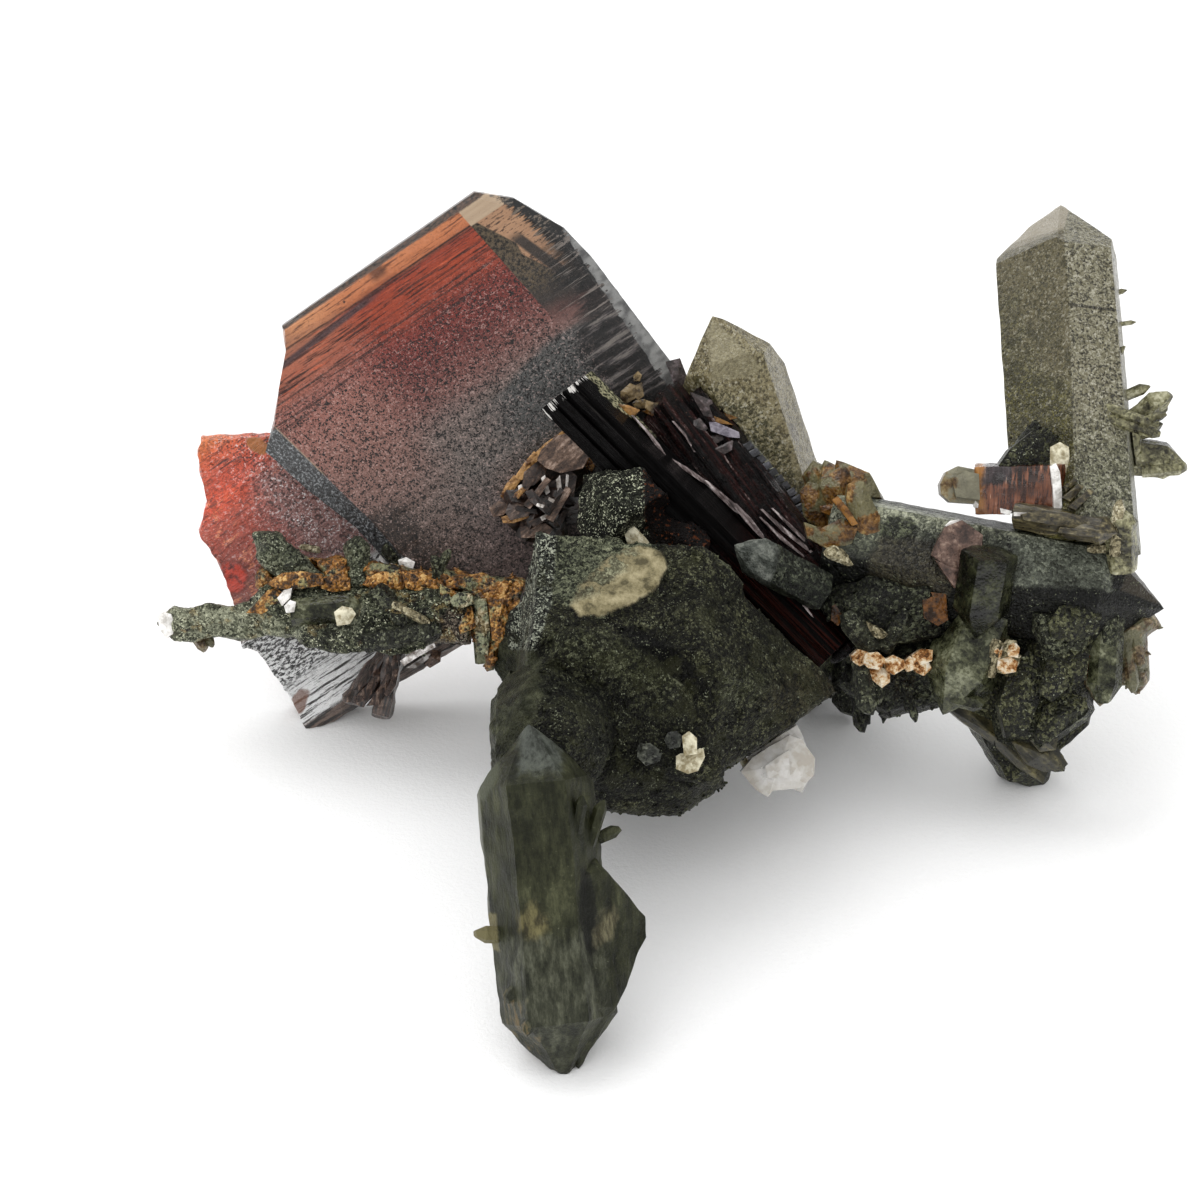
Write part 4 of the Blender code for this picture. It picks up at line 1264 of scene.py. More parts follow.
PLATE_LUMPS = {
    "cream bit": Flake("633,376 638,371 642,375 640,381 634,381", 0.9, 1.2, 0.15),
    "tan lump 1": Flake("620,392 630,383 637,386 636,398 626,404 621,400", 0.8, 1.2, 0.2),
    "tan lump 2": Flake("634,386 642,382 644,396 638,400 634,396", 0.8, 1.2, 0.1),
    "oval lump": Flake("632,403 636,400 645,399 648,403 645,408 636,409", 1.1, 1.4, 0.15),
    "grey lump": Flake("646,400 656,403 668,400 664,408 652,413 645,408", 0.9, 1.2, 0.15),
}
PLATE_RUST = {
    "rust 1": Flake("618,404 628,405 640,410 634,416 624,414", 0.6, 1.2, 0.1),
    "rust 2": Flake("642,411 652,409 660,413 652,416", 0.6, 1.2, 0.1),
    "fold 1": Flake("714,411 724,412 738,418 728,420", 0.5, 0.9, 0.1),
    "fold 2": Flake("714,416 724,420 734,425 716,423", 0.5, 0.9, 0.1),
}

# Pale flakes; the glints, the small brown crystal's end facet and the first two corner chunks are painted
# highlights
GLINTS_AND_PALE_FACETS = {
    "brown crystal end": Flake(
        "1050,466 1056,463 1060,472 1062,492 1062,508 1054,511 1053,488",
        0.5, 0.9, 0.1,
    ),
    "top glint": Flake("1034,464 1044,460 1046,463 1036,467", 0.3, 0.6, 0.05),
    "left glint": Flake("974,499 979,500 978,508 974,507", 0.3, 0.6, 0.05),
    "foot glint 1": Flake("1000,508 1012,511 1010,515 1001,513", 0.3, 0.6, 0.05),
    "foot glint 2": Flake("1014,512 1032,513 1030,516 1014,516", 0.3, 0.6, 0.05),
    "flake glint": Flake("945,526 950,521 960,519 958,523 949,527", 0.5, 0.6, 0.05),
    "corner chunk 1": Flake("379,556 385,552 390,558 388,570 382,572", 0.5, 0.9, 0.15, (0.2, 0.0)),
    "corner chunk 2": Flake("390,560 395,562 396,570 391,572", 0.4, 0.8, 0.1),
    "corner chunk 3": Flake("398,560 406,557 415,562 413,569 401,571", 0.4, 0.8, 0.15),
    "left chunk 1": Flake("277,598 284,590 292,588 290,598 282,606", 0.9, 1.2, 0.2, (0.2, 0.1)),
    "left chunk 2": Flake("284,606 290,600 296,602 294,612 286,613", 0.8, 1.2, 0.15),
    "bar tip": Flake("157,617 163,612 171,614 174,622 173,634 166,638 160,630", 0.4, 1.2, 0.25),
}

FLAKE_BLADES = {
    "mauve flake": Flake(
        "541,450 556,436 567,433 590,455 583,468 561,473 546,468 537,460",
        0.9, 1.6, 0.06, (0.1, -0.1),
    ),
    "foot flake": Flake("520,527 545,523 553,529 547,537 521,538", 0.7, 1.2, 0.05),
    "granules 1": Flake("489,508 498,501 507,503 509,510 503,515 493,517", 0.6, 1.0, 0.1),
    "long sliver 1": Flake("510,500 528,479 534,481 518,504", 1.0, 1.0, 0.04),
    "long sliver 2": Flake("523,505 546,477 551,480 530,509", 1.1, 1.0, 0.04),
    "long sliver 3": Flake("545,518 566,486 572,490 553,522", 0.9, 1.0, 0.04),
}
FLAKE_SHADE = {
    "inner flake": Flake("524,472 540,459 549,466 544,476 534,485 522,488", 0.9, 1.4, 0.05, (-0.2, 0.1)),
    "lower flake": Flake("505,512 511,499 524,496 534,506 528,516 510,520", 0.8, 1.3, 0.05, (0.1, 0.2)),
    "back flake": Flake("546,474 566,467 577,476 573,500 558,504 548,492", 0.5, 1.2, 0.05),
    "right sliver": Flake("556,510 575,478 580,482 563,515", 0.7, 1.0, 0.04),
    "low sliver": Flake("528,522 556,508 560,513 534,527", 0.9, 1.0, 0.04),
}
FLAKE_DARK = {
    "dark blade 1": Flake("525,492 532,489 551,510 546,514 530,501", 1.3, 1.5, 0.15),
    "dark blade 2": Flake("545,513 553,500 560,487 564,491 556,507 549,516", 1.2, 1.5, 0.1),
    "dark blade 3": Flake("514,505 536,509 538,514 516,511", 1.1, 1.2, 0.08),
    "dark blade 4": Flake("556,520 566,504 571,508 560,526", 0.9, 1.2, 0.08),
}
FLAKE_RIBBON = {
    "ribbon 1": Flake("544,444 562,431 568,434 554,446 541,457 535,453", 1.15, 1.2, 0.1),
    "ribbon 2": Flake("534,451 541,457 530,469 522,480 514,478 524,463", 1.2, 1.3, 0.1),
    "ribbon 3": Flake("514,475 521,480 512,493 504,500 500,496 506,484", 1.1, 1.2, 0.1),
    "tan blade": Flake("501,517 518,512 531,511 531,517 514,523 503,523", 1.2, 1.4, 0.1),
    "tan blade 2": Flake("514,494 522,487 526,490 518,499", 1.3, 1.2, 0.1),
    "orange bit": Flake("585,460 590,457 595,466 592,472 586,468", 0.8, 1.2, 0.1),
}

FLAKE_GLINTS = {
    "white bar": Flake("518,486 522,484 523,493 519,494", 1.5, 0.8, 0.05),
    "grey flake 1": Flake("541,478 545,475 550,492 546,495", 1.3, 1.0, 0.05),
    "grey flake 2": Flake("556,480 560,475 562,492 558,496", 1.4, 1.0, 0.05),
    "grey flake 3": Flake("566,474 569,475 567,495 565,494", 1.3, 1.0, 0.05),
    "small glint 1": Flake("537,503 545,505 543,508 536,506", 1.5, 0.6, 0.05),
    "small glint 2": Flake("549,497 555,500 553,503 548,500", 1.4, 0.6, 0.05),
    "small glint 3": Flake("540,517 546,514 548,518 542,521", 1.3, 0.6, 0.05),
}

FAN_BLADES = {
    "curved blade 1": Flake("385,646 391,644 397,655 399,669 393,669 388,656", 0.9, 0.9, 0.1),
    "curved blade 2": Flake("393,669 399,669 396,685 388,697 384,694 391,682", 0.9, 0.9, 0.1),
    "fan blade 1": Flake("382,664 387,668 368,700 355,703 354,698 364,688", 0.4, 1.0, 0.1),
    "fan blade 2": Flake("388,672 392,678 378,705 366,706 372,698", 0.7, 0.8, 0.1),
    "fan blade 3": Flake("376,660 382,662 360,690 354,690", 0.3, 1.0, 0.1),
}
STRIP_GLINTS = {
    "silver strip 1": Flake("400,661 412,652 434,643 436,647 416,658 404,666", 0.4, 0.8, 0.05),
    "silver strip 2": Flake("406,668 420,661 430,652 432,656 416,668", 0.3, 0.8, 0.05),
}
FAN_CLUMPS = {
    "dark clump": Flake("423,656 432,649 441,652 440,662 430,668 424,664", 0.3, 1.2, 0.3),
}


# Quartz

MASS_GROWTHS = {
    "upper point": Growth("700,556 692,548", 0.8, 0.4, 0.9, 0.3),
}
SLAB_FLAKES = {
    "slab": Flake("940,703 956,698 1006,728 1050,766 1043,783 1018,768 990,742 962,722", 0.6, 1.6, 0.3),
    "slab end 1": Flake("1012,742 1036,734 1058,748 1068,764 1062,770 1044,772 1026,764", 0.7, 1.6, 0.4),
    "slab end 2": Flake("1030,740 1048,734 1058,738 1056,750 1040,752", 1.0, 1.6, 0.3),
}
RIGHT_FLAKES = {
    "rounded bar": Flake(
        "1036,730 1044,706 1070,693 1086,698 1088,709 1070,722 1048,744 1038,742",
        1.0, 1.8, 0.4,
    ),
    "tall block 1": Flake("998,706 1010,672 1028,650 1044,660 1040,700 1026,736 1006,738", 1.0, 1.8, 0.5),
    "tall block 2": Flake("1038,692 1050,652 1064,642 1076,656 1070,686 1052,702", 0.9, 1.8, 0.4),
    "upper block": Flake("1048,624 1060,606 1088,600 1102,616 1098,634 1070,642 1052,638", 0.9, 1.8, 0.4),
    "edge block": Flake("1064,650 1080,640 1090,652 1086,680 1072,686", 0.6, 1.6, 0.3),
}
OCHRE_FLAKES = {
    "left band 1": Flake("246,613 258,601 268,590 276,588 284,594 276,606 262,614", 0.5, 1.6, 0.2),
    "left band 2": Flake("266,584 282,573 300,571 322,574 324,585 300,589 278,589", 0.9, 1.6, 0.2),
    "left band 3": Flake("318,578 334,575 350,578 350,590 332,592 320,588", 0.7, 1.6, 0.2),
    "middle band 1": Flake("368,578 380,571 400,573 402,584 384,592 370,588", 0.5, 1.6, 0.2),
    "middle band 2": Flake("402,574 416,570 436,580 440,592 420,592 406,588", 0.5, 1.6, 0.2),
    "right band": Flake("440,584 456,592 470,598 466,606 450,600 440,594", 0.5, 1.4, 0.2),
    "right block 1": Flake("456,610 472,606 476,628 460,634", 0.5, 1.4, 0.2),
    "right block 2": Flake("488,600 504,598 510,622 506,646 492,640", 0.5, 1.4, 0.3),
}
TAN_FLAKES = {
    "cream crystal 1": Flake("450,598 458,592 472,594 474,604 462,608 452,606", 1.0, 1.4, 0.2),
    "cream crystal 2": Flake("442,596 449,593 452,602 446,606", 0.9, 1.2, 0.15),
    "green bar": Flake("474,600 486,598 490,630 488,656 476,652", 0.7, 1.4, 0.2),
    "ring": Flake("180,624 185,621 190,624 190,630 185,633 180,630", 0.2, 0.5, 0.05),
}
WEDGE_FLAKES = {
    "wedge": Flake("994,472 1010,449 1034,430 1050,427 1058,444 1056,482 1000,484", 0.8, 2.4, 0.3),
    "wedge right": Flake("1054,434 1072,441 1076,484 1058,486", 0.5, 1.8, 0.1),
}
AMBER_FLAKES = {
    "block by column": Flake("922,596 930,592 946,594 948,620 938,626 924,618", 0.4, 1.4, 0.1),
    "rust strip": Flake("1087,648 1093,645 1100,652 1099,680 1091,686 1087,672", 1.0, 1.4, 0.1),
    "rust patch 1": Flake("832,606 840,602 846,614 838,626 831,620", 0.3, 1.0, 0.1),
}
CREAM_FLAKES = {
    "pale point": Flake("622,527 626,523 634,526 645,537 655,550 643,555 628,545", 1.1, 1.6, 0.2),
    "hexagon": Flake("334,612 342,606 352,608 356,614 350,624 337,626", 0.7, 1.2, 0.2),
    "cream block top": Flake("682,736 689,731 697,738 697,754 684,756", 1.5, 2.2, 0.15),
    "cream block": Flake("676,756 686,750 703,746 705,757 698,771 688,774 676,769", 1.3, 2.2, 0.15),
    "tan patch": Flake("1050,447 1060,442 1069,447 1070,468 1060,480 1050,474", 1.5, 2.2, 0.15),
    "white bit": Flake("740,762 746,757 750,764 744,770", 0.6, 1.0, 0.1),
}
GREY_DISCS = {
    "disc": Flake("637,742 645,731 657,731 664,744 660,761 646,766 637,757", 0.9, 1.6, 0.2),
    "ring": Flake("664,740 668,732 677,731 683,737 680,747 669,749", 1.3, 1.8, 0.15),
    "column ring": Flake("992,620 998,616 1004,620 1002,627 995,628", 0.5, 1.0, 0.1),
}
OLIVE_FLAKES = {
    "bar 1": Flake("1022,514 1040,510 1094,517 1106,524 1104,530 1060,526 1024,520", 0.6, 1.2, 0.1),
    "bar 2": Flake("1060,527 1104,531 1106,538 1080,536 1058,532", 0.5, 1.2, 0.1),
    "bunch 1": Flake("1063,497 1078,484 1084,486 1070,502", 0.6, 1.0, 0.1),
    "bunch 2": Flake("1068,507 1090,488 1094,492 1076,510", 0.6, 1.0, 0.1),
    "bunch 3": Flake("1064,486 1074,478 1078,481 1066,492", 0.5, 1.0, 0.1),
}
CREAM_GROWTHS = {
    "cream speck": Growth("632,782 635,762", 0.4, 0.3, 0.9, 0.3),
    "bed crystal": Growth("862,622 884,636", 0.6, 0.6, 0.9, 0.8),
    "ring crystal": Growth("845,558 828,551", 0.9, 0.5, 0.9, 0.8),
    "lumps 1": Growth("990,668 998,640", 1.0, 0.5, 0.9, 0.6),
    "lumps 2": Growth("1004,664 1012,640", 0.9, 0.6, 0.9, 0.6),
    "lumps 3": Growth("1012,668 1018,655", 0.8, 0.5, 0.9, 0.6),
    "bar crystal": Growth("400,608 430,623", 0.65, 0.5, 0.9, 0.3),
    "plate bar": Growth("304,547 320,550", 0.5, 0.3, 0.7, 0.8),
    "foot crystal 1": Growth("1116,548 1120,500", 0.8, 0.3, 0.8, 0.4),
    "foot crystal 2": Growth("1096,550 1126,545", 0.8, 0.4, 0.8, 0.4),
}
LEG_GROWTHS = {
    "left stub": Growth("500,935 475,934", 1.1, 0.2, 0.9, 0.4),
    "spike 1": Growth("576,830 582,796", 0.7, 0.2, 0.9, 0.3),
    "spike 2": Growth("590,845 604,800", 0.8, 0.2, 0.9, 0.3),
    "spike 3": Growth("600,838 620,828", 0.7, 0.2, 0.9, 0.4),
    "foot chip 1": Growth("515,990 506,1000", 0.9, 0.2, 0.9, 0.6),
    "foot chip 2": Growth("530,1022 524,1034", 0.8, 0.2, 0.9, 0.6),
}
SPRAY_GROWTHS = {
    "pale point": Growth("1128,396 1150,386", 0.7, 0.4),
    "dark crystal": Growth("1134,418 1170,394", 1.25, 0.6, 0.8, 0.4),
    "cream bar 1": Growth("1112,420 1160,434", 0.75, 0.8, 0.8, 0.5),
    "cream bar 2": Growth("1108,408 1150,424", 0.6, 1.2, 0.8, 0.5),
    "upper bar": Growth("1136,425 1166,414", 0.6, 0.6, 0.8, 0.4),
    "stub": Growth("1150,470 1186,467", 1.0, 0.3, 0.9, 0.5),
    "bump 1": Growth("1122,292 1127,290", 0.35, 0.1),
    "bump 2": Growth("1130,323 1136,322", 0.3, 0.1),
    "ledge": Growth("1119,352 1125,346", 0.5, 0.2),
}
RUSTY_GROWTHS = {
    "top crystal": Growth("1126,636 1152,620", 0.9, 0.4, 0.8, 0.4),
    "spur 1": Growth("1128,648 1134,692", 0.8, 0.3, 0.8, 0.4),
    "spur 2": Growth("1136,640 1141,668", 0.6, 0.3, 0.8, 0.4),
    "left bar clump 1": Growth("198,638 206,649", 0.8, 0.3, 0.9, 0.6),
    "left bar clump 2": Growth("206,638 213,645", 0.6, 0.3, 0.9, 0.6),
}
DARK_GROWTHS = {
    "hanging crystal 1": Growth("850,706 862,732", 0.9, 0.4, 0.8, 0.4),
    "hanging crystal 2": Growth("858,700 868,724", 0.7, 0.6, 0.8, 0.4),
    "glassy spike 1": Growth("904,682 916,722", 0.55, 0.6, 0.8, 0.3),
    "glassy spike 2": Growth("898,680 896,706", 0.45, 0.6, 0.8, 0.3),
    "glassy spike 3": Growth("912,684 906,712", 0.4, 0.8, 0.8, 0.3),
}
CLUSTER_CRYSTALS = {
    "upper block 1": Growth("1075,640 1084,602", 2.0, 0.5, 0.9, 0.6),
    "upper block 2": Growth("1062,662 1040,612", 2.0, 0.6, 0.9, 0.5),
    "side block": Growth("1108,645 1112,606", 1.6, 0.4, 0.9, 0.5),
    "leg block 1": Growth("1010,735 1042,664", 2.6, 0.8, 0.8, 0.6),
    "leg block 2": Growth("1036,725 1064,660", 2.0, 0.5, 0.8, 0.5),
    "leg block 3": Growth("1002,740 1010,698", 2.0, 1.0, 0.8, 0.6),
    "rounded bar": Growth("1040,736 1087,702", 1.9, 0.4, 0.9, 0.7),
    "foot lump 1": Growth("1030,756 1064,764", 1.3, 0.2, 0.9, 0.7),
    "foot lump 2": Growth("1024,764 1056,746", 1.2, 0.2, 0.9, 0.6),
    "bed block 1": Growth("870,642 846,612", 1.6, 0.6, 0.9, 0.5),
    "bed block 2": Growth("886,642 906,610", 1.4, 0.6, 0.9, 0.5),
    "bed block 3": Growth("928,646 914,616", 1.4, 0.6, 0.9, 0.5),
    "low block 1": Growth("846,660 848,714", 1.8, 0.4, 0.9, 0.5),
    "low block 2": Growth("862,668 868,714", 1.2, 0.5, 0.9, 0.5),
    "low block 3": Growth("878,680 876,704", 0.9, 0.5, 0.9, 0.5),
    "left body block": Growth("372,640 440,628", 1.6, 0.5, 0.8, 0.6),
    "left dark block": Growth("380,596 408,626", 1.5, 0.6, 0.8, 0.6),
}
CLUSTER_GLASSY = {
    "pale slab": Growth("1108,642 1104,702", 2.1, 0.3, 0.6, 0.4),
    "left body": Growth("300,612 362,608", 1.7, 0.5, 0.8, 0.5),
    "knob side": Growth("960,700 984,706", 1.0, 0.3, 0.8, 0.4),
    "cream green": Growth("482,655 478,600", 1.0, 0.5, 0.9, 0.6),
}
CLEAR_FLAKES = {
    "blunt point": Flake(
        "741,772 752,758 770,746 790,735 801,739 815,758 814,776 800,788 772,791 768,797 756,790",
        0.9, 1.8, 0.5,
    ),
    "white facet": Flake("765,766 782,754 789,750 790,778 768,778", 1.5, 1.8, 0.1),
}
PLATE_GROWTHS = {
    "plate green point": Growth("436,574 450,550", 0.6, 0.4, 0.8, 0.4),
    "plate green point 2": Growth("440,574 434,556", 0.7, 0.3, 0.8, 0.6),
    "corner crystal": Growth("396,560 384,545", 0.8, 0.4, 0.8, 0.6),
}


# Outlines of terraces on the central mass, clockwise in the picture
LOWER_TERRACE = "500,820 504,700 534,662 566,634 606,632 650,655 680,684 706,716 730,820"
LEFT_TERRACE = "466,740 466,650 500,640 532,652 540,690 515,745"
RIGHT_TERRACE = "742,596 742,570 880,690 880,722"


PATCH_EDGE = 2  # pixels of a patch's edge that stay free to sow


def off_patches(*outlines):
    """A test that is true outside these outlines of the picture."""
    outlines = [outline(corners) for corners in outlines]

    def patch(place):
        spot = in_picture(place)
        return all(depth_inside(corners, spot) < PATCH_EDGE for corners in outlines)

    return patch


def make_quartz():
    green = green_material("quartz_green", "080905 1a1c11 35372a 74775e", glint=("8f937c", 0.1))
    dark = green_material("quartz_dark", "050504 10110b 26281d 5c604c", glint=("74785f", 0.08))
    pepper = pepper_material()
    slab = lined_material("olive_slab", "0a0a05 211f0f 413c22 716a44", SLAB_AXIS, 0.6, 2.0)
    left = left_cluster_material()
    soft = green_material("quartz_soft", "14160f 34382b 5a5e4a 8d917a", grain=7.0, glint=("b0b49c", 0.3))

    base = grain_relief(0.4, 0.12, rough_relief((3.0, 0.4), (1.0, 0.12)))
    steps = (
        (LOWER_TERRACE, 0.8, 1.0), (LEFT_TERRACE, 0.1, 0.3),
        (CREAM_PATCH, 0.3, 0.15), (RIGHT_TERRACE, -0.35, 1.0),
    )
    mass = ["quartz_central_mass", "quartz_back_mass"]
    shape = rock_shape(mass, 0.18, 0.1, terraces(base, *steps))
    sow(shape, 1500, (0.14, 0.34), 3, 0.35, off_patches(CREAM_PATCH, LEFT_TERRACE))
    grown(MASS_GROWTHS).into(shape)
    piece("central_mass", shape, mass_material(), mass)
    cream = green_material("cream_quartz", "3a3523 7a7156 a39a7c cfc8ad", 1.1, 5.0)
    growth_piece("cream_crystals", CREAM_GROWTHS, cream)
    flake_piece("cream_flakes", CREAM_FLAKES, pale_material("cream_flake", "8a7f60", "d8d2b8"), "quartz_grey")
    disc = glassy_material("grey_disc", "121310 2e302a 55574d a5a798")
    flake_piece("grey_discs", GREY_DISCS, disc, "quartz_green")
    bars = lined_material("olive_bars", "0e0b06 2c2618 50482f 827856", BARS_AXIS, 0.4, 4.0)
    flake_piece("olive_flakes", OLIVE_FLAKES, bars, "quartz_grey")

    leg = rough_relief((3.0, 0.25), (0.8, 0.08))
    long_lines = lined_relief((19.6, -4.7, -1.5), 0.5, 0.05, 0.04)
    points = {
        "front_leg": (leg_material(), "quartz_green", 0.3, 0.12, leg, grown(LEG_GROWTHS)),
        "long_point": (long_point_material(), "quartz_green", 0.4, 0.14, long_lines),
        "rear_point": (rear_material(), "quartz_grey", 0.4, 0.14, rough_relief((1.2, 0.05))),
        "upright_point": (upright_material(), "quartz_grey", 0.4, 0.12, rough_relief((1.2, 0.04))),
    }
    for name, form in points.items():
        crystal_piece(name, "quartz_" + name, *form)

    rocks = {
        "cluster_bed": (dark, 420, (0.2, 0.5)),
        "lower_bed": (dark, 120, (0.2, 0.5)),
        "granular_patch": (pepper, 300, (0.1, 0.25)),
        "rounded_crystal": (soft, 60, (0.1, 0.2)),
        "upright_stub": (soft, 30, (0.1, 0.2)),
        "left_cluster": (left, 200, (0.12, 0.35)),
        "left_bar": (left, 12, (0.1, 0.15)),
        "dark_splinter": (dark, 30, (0.15, 0.3)),
        "dark_wedge": (dark, 60, (0.12, 0.3)),
    }
    grainy = grain_relief(0.28, 0.08, rough_relief((1.5, 0.3), (0.6, 0.08)))
    for index, (name, (material, count, sizes)) in enumerate(rocks.items()):
        shape = rock_shape(["quartz_" + name], 0.14, 0.12, grainy)
        sow(shape, count, sizes, 20 + index, 0.4)
        piece(name, shape, material, ["quartz_" + name])

    uneven = rough_relief((0.7, 0.08))
    spray = glassy_material("quartz_spray", "26241a 5c5942 8a8766 c4c1a4", 0.9)
    heap = grown(SPRAY_GROWTHS)
    crystal_piece("side_spray", "quartz_side_spray", spray, "quartz_grey", 0.3, 0.05, uneven, heap)
    knob = glassy_material("quartz_knob", "14150c 2e3020 4c4e38 7c7e66")
    column = glassy_material("quartz_column", "060603 121309 242616 444630")
    leg_green = green_material("quartz_right_leg", "060604 17180e 33341f 6a6b4e", glint=("8f937c", 0.05))
    ochre = stained_material("ochre_crust", "1e1004 5c3a0e 9c6822 d0a868", "9a9060", 0.9)
    tan = stained_material("tan_quartz", "2a2010 6a5a38 a39470 d8ccae", "8c8e70", 0.5)
    flakes = {
        "right_slab": (SLAB_FLAKES, slab, "quartz_green"),
        "right_crystals": (RIGHT_FLAKES, leg_green, "quartz_green"),
        "amber_blocks": (AMBER_FLAKES, pale_material("amber_stain", "241406", "6e4418"), "iron_stain"),
        "ochre_crust": (OCHRE_FLAKES, ochre, "iron_stain"),
        "tan_crystals": (TAN_FLAKES, tan, "iron_stain"),
        "dark_wedge_front": (WEDGE_FLAKES, leg_green, "quartz_green"),
    }
    for name, form in flakes.items():
        flake_piece(name, *form)
    facets = {
        "grey_knob": knob, "foot_bar": bars, "foot_column": spray, "across_blades": across_material(),
        "front_column": column, "right_leg": leg_green,
    }
    for name, material in facets.items():
        crystal_piece(name, "quartz_" + name, material, "quartz_grey", 0.3, 0.14, uneven)
    growth_piece("cluster_crystals", CLUSTER_CRYSTALS, green)
    growth_piece("cluster_glassy", CLUSTER_GLASSY, knob)
    growth_piece("dark_growths", DARK_GROWTHS, dark)
    growth_piece("plate_growths", PLATE_GROWTHS, green)
    clear = pale_material("quartz_clear", "cbc4b8", "f0eeea", 0.4, 1.0, 3.0, 0.5)
    heap = flaked(CLEAR_FLAKES)
    relief = rough_relief((0.8, 0.1))
    crystal_piece("clear_points", "quartz_clear_points", clear, "quartz_clear", 0.3, 0.1, relief, heap)


# Stained crystals and feldspar

FELDSPAR = {
    "feldspar_lumps": {
        "lump 1": Flake("851,655 858,649 868,652 870,660 860,667 853,662", 0.5, 1.8, 0.4),
        "lump 2": Flake("866,653 878,652 887,660 880,670 868,668 862,662", 0.8, 1.8, 0.45),
        "lump 3": Flake("868,670 880,666 890,672 890,682 882,688 872,680", 0.6, 1.8, 0.4),
        "lump 4": Flake("884,660 893,655 904,660 906,668 894,675 886,670", 0.7, 1.8, 0.45),
        "lump 5": Flake("902,664 910,656 918,660 918,668 908,672", 0.4, 1.6, 0.3),
        "lump 6": Flake("912,655 922,649 933,650 932,661 920,666 914,662", 0.8, 1.8, 0.4),
        "lump 7": Flake("916,664 928,661 932,668 924,676 916,672", 0.5, 1.6, 0.3),
    },
    "feldspar_lump_right": {
        "lump 1": Flake("988,650 996,641 1006,644 1008,654 998,661 989,658", 0.6, 1.8, 0.4),
        "lump 2": Flake("1006,645 1014,640 1020,648 1018,658 1008,656", 0.5, 1.8, 0.35),
        "lump 3": Flake("998,660 1010,656 1018,662 1016,672 1004,674 997,668", 0.6, 1.8, 0.4),
    },
}

AMBER_TIP = {
    "grey outline": Flake("940,484 946,472 958,466 978,470 979,504 950,502 941,494", 0.2, 1.6, 0.25),
    "amber": Flake("952,478 966,471 979,474 980,500 956,497", 0.5, 1.0, 0.15),
}
STAINED_FLAKES = {
    "big point": Flake(
        "820,486 830,474 842,465 849,469 852,480 846,496 856,524 838,508 826,500",
        0.6, 1.5, 0.6,
    ),
    "second point": Flake(
        "848,484 856,480 864,482 872,500 880,516 880,532 866,540 852,524 846,500",
        0.8, 1.6, 0.5,
    ),
    "left point": Flake("800,492 808,482 820,484 830,500 838,516 822,528 804,520", 0.4, 1.4, 0.4),
    "small point": Flake("810,484 812,468 817,467 822,482 816,492", 0.2, 1.0, 0.2),
    "low block": Flake("804,522 822,528 842,518 858,528 850,548 826,548 808,538", 0.5, 1.4, 0.4),
}
STAIN_EDGES = {
    "amber edge 1": Flake("832,500 838,496 848,508 858,524 852,526 842,512", 1.2, 1.6, 0.1),
    "amber fold": Flake("820,506 834,504 842,514 836,518 822,512", 1.0, 1.4, 0.15),
    "amber fold 2": Flake("804,506 814,496 820,504 812,514", 0.9, 1.4, 0.1),
}


def make_stained():
    rust = "241504 5e3c10 94682a c4a668"
    stained = stained_material("stained_quartz", rust, "7a7452", 0.55, 0.9, 0.3, 0.7)
    cluster = "quartz_stained_cluster"
    relief = rough_relief((0.7, 0.12))
    heap = flaked(STAINED_FLAKES)
    crystal_piece("stained_cluster", cluster, stained, "iron_stain", 0.3, 0.12, relief, heap)
    flake_piece("stain_edges", STAIN_EDGES, pale_material("amber_edge", "4a2c0c", "8c6028"), "iron_stain")
    brown = stained_material("brown_quartz", "20160c 4a3a26 75654a a89a7c", "5c5a44", 0.5, glassy=0.5)
    points = ["quartz_rusty_points"]
    shape = push(refine(cad_shape(*points), 0.3), 0.12, rough_relief((0.7, 0.1)))
    sow(shape, 60, (0.2, 0.45), 52, 0.5)
    grown(RUSTY_GROWTHS).into(shape)
    piece("rusty_points", shape, brown, points)
    amber = stained_material("amber_quartz", "2a1a0a 5e4420 8a7448 b8ac8c", "86826c", 0.4, 0.9, 0.3, 0.9)
    flake_piece("amber_tip", AMBER_TIP, amber, "iron_stain", ["quartz_amber_tip"])
    crust = stained_material("stained_matrix", "1e1004 5c3a0e 986220 d0a868", "7a7a58", 0.7)
    matrix = ["stained_matrix"]
    shape = rock_shape(matrix, 0.16, 0.15, rough_relief((1.2, 0.4), (0.4, 0.12)))
    sow(shape, 260, (0.12, 0.4), 53, 0.35)
    piece("stained_matrix", shape, crust, matrix)
    lumps = feldspar_material()
    for node, flakes in FELDSPAR.items():
        flake_piece(node + "_grown", flakes, lumps, "feldspar", [node])


make_brookite()
make_quartz()
make_stained()


# Floor, light and camera


def floor_material():
    g = Graph("paper")
    fibres = g.noise(3.0, 3, 0.7)
    g.colour = g.mix(fibres, "f4f4f4", "ffffff")
    return g.finish(0.9, [(fibres * 0.2, 0.3)], PAPER_IOR)


def flat_mesh(name, half):
    mesh = bpy.data.meshes.new(name)
    corners = [(-half, -half, 0), (half, -half, 0), (half, half, 0), (-half, half, 0)]
    mesh.from_pydata(corners, [], [(0, 1, 2, 3)])
    return mesh


FLOOR_HALF = 1.2  # metres
floor = bpy.data.objects.new("floor", flat_mesh("floor", FLOOR_HALF))
floor.data.materials.append(floor_material())
bpy.context.scene.collection.objects.link(floor)


def soft_sun(name, direction, angle, strength, glossy=True):
    """Light from a direction, as soft as from a panel that spans that angle."""
    data = bpy.data.lights.new(name, "SUN")
    data.angle = math.radians(angle)
    data.energy = strength
    light = bpy.data.objects.new(name, data)
    light.rotation_euler = Vector(direction).to_track_quat("Z", "Y").to_euler()
    light.visible_glossy = glossy
    bpy.context.scene.collection.objects.link(light)


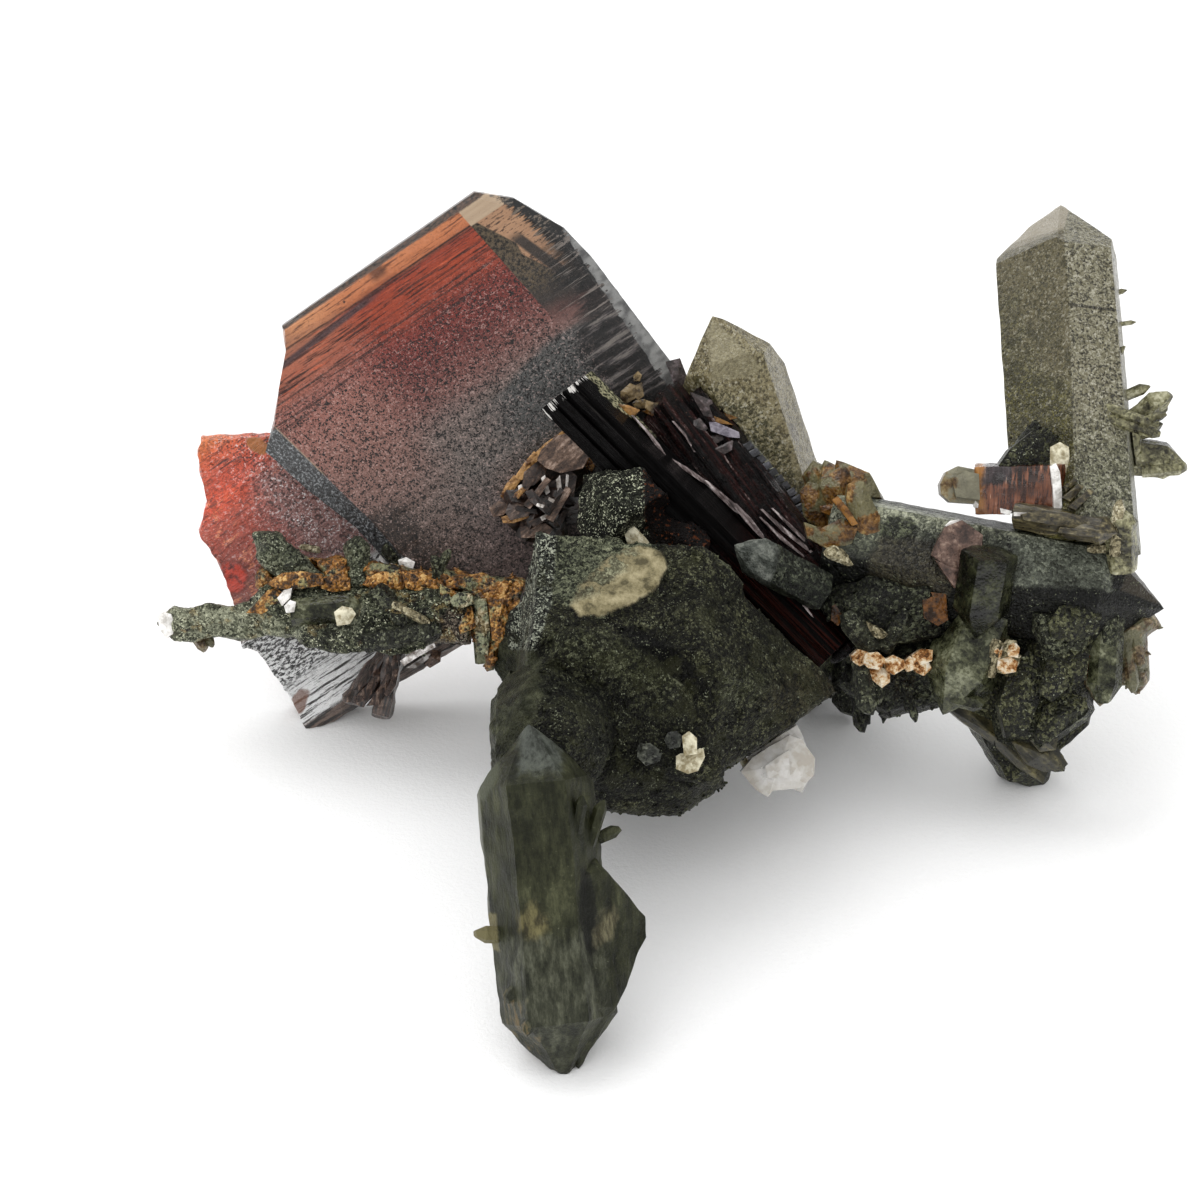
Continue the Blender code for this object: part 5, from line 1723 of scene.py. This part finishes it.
# Strength of the world at the horizon and overhead
SKY_LIGHT = 0.98, 1.15
SKY_MIRRORED = 0.12, 0.75
SKY_SEEN = 0.95, 0.95


def studio_world():
    """Brighter overhead than at the horizon, and pale where the camera sees it."""
    world = bpy.data.worlds.new("studio")
    world.use_nodes = True
    tree = world.node_tree
    shade = tree.nodes["Background"]
    height = tree.nodes.new("ShaderNodeSeparateXYZ")
    coordinates = tree.nodes.new("ShaderNodeTexCoord")
    tree.links.new(coordinates.outputs["Generated"], height.inputs[0])
    path = tree.nodes.new("ShaderNodeLightPath")

    def gradient(horizon, zenith):
        strength = tree.nodes.new("ShaderNodeMapRange")
        tree.links.new(height.outputs["Z"], strength.inputs["Value"])
        strength.inputs["To Min"].default_value = horizon
        strength.inputs["To Max"].default_value = zenith
        return strength.outputs["Result"]

    def choose(kind, otherwise, chosen):
        mix = tree.nodes.new("ShaderNodeMix")
        tree.links.new(path.outputs[kind], mix.inputs["Factor"])
        tree.links.new(otherwise, mix.inputs[2])
        tree.links.new(chosen, mix.inputs[3])
        return mix.outputs[0]

    light = choose("Is Glossy Ray", gradient(*SKY_LIGHT), gradient(*SKY_MIRRORED))
    tree.links.new(choose("Is Camera Ray", light, gradient(*SKY_SEEN)), shade.inputs["Strength"])
    shade.inputs["Color"].default_value = (1.0, 1.0, 1.0, 1.0)
    bpy.context.scene.world = world


soft_sun("key", (-0.35, 0.42, 0.84), 50, 1.05)
soft_sun("fill", (-0.3, -0.75, 0.6), 70, 0.62, glossy=False)
studio_world()
bpy.context.scene.view_settings.view_transform = "Standard"

camera_data = bpy.data.cameras.new("camera")
camera_data.lens = camera_data.sensor_width * VIEW_DISTANCE / VIEW_WIDTH
camera_data.clip_start = 0.01
camera_data.clip_end = 10
camera = bpy.data.objects.new("camera", camera_data)
camera.location = (EYE - MIDDLE) * MM
camera.rotation_euler = (math.pi / 2 - VIEW_ELEVATION, 0, 0)
bpy.context.scene.collection.objects.link(camera)
bpy.context.scene.camera = camera
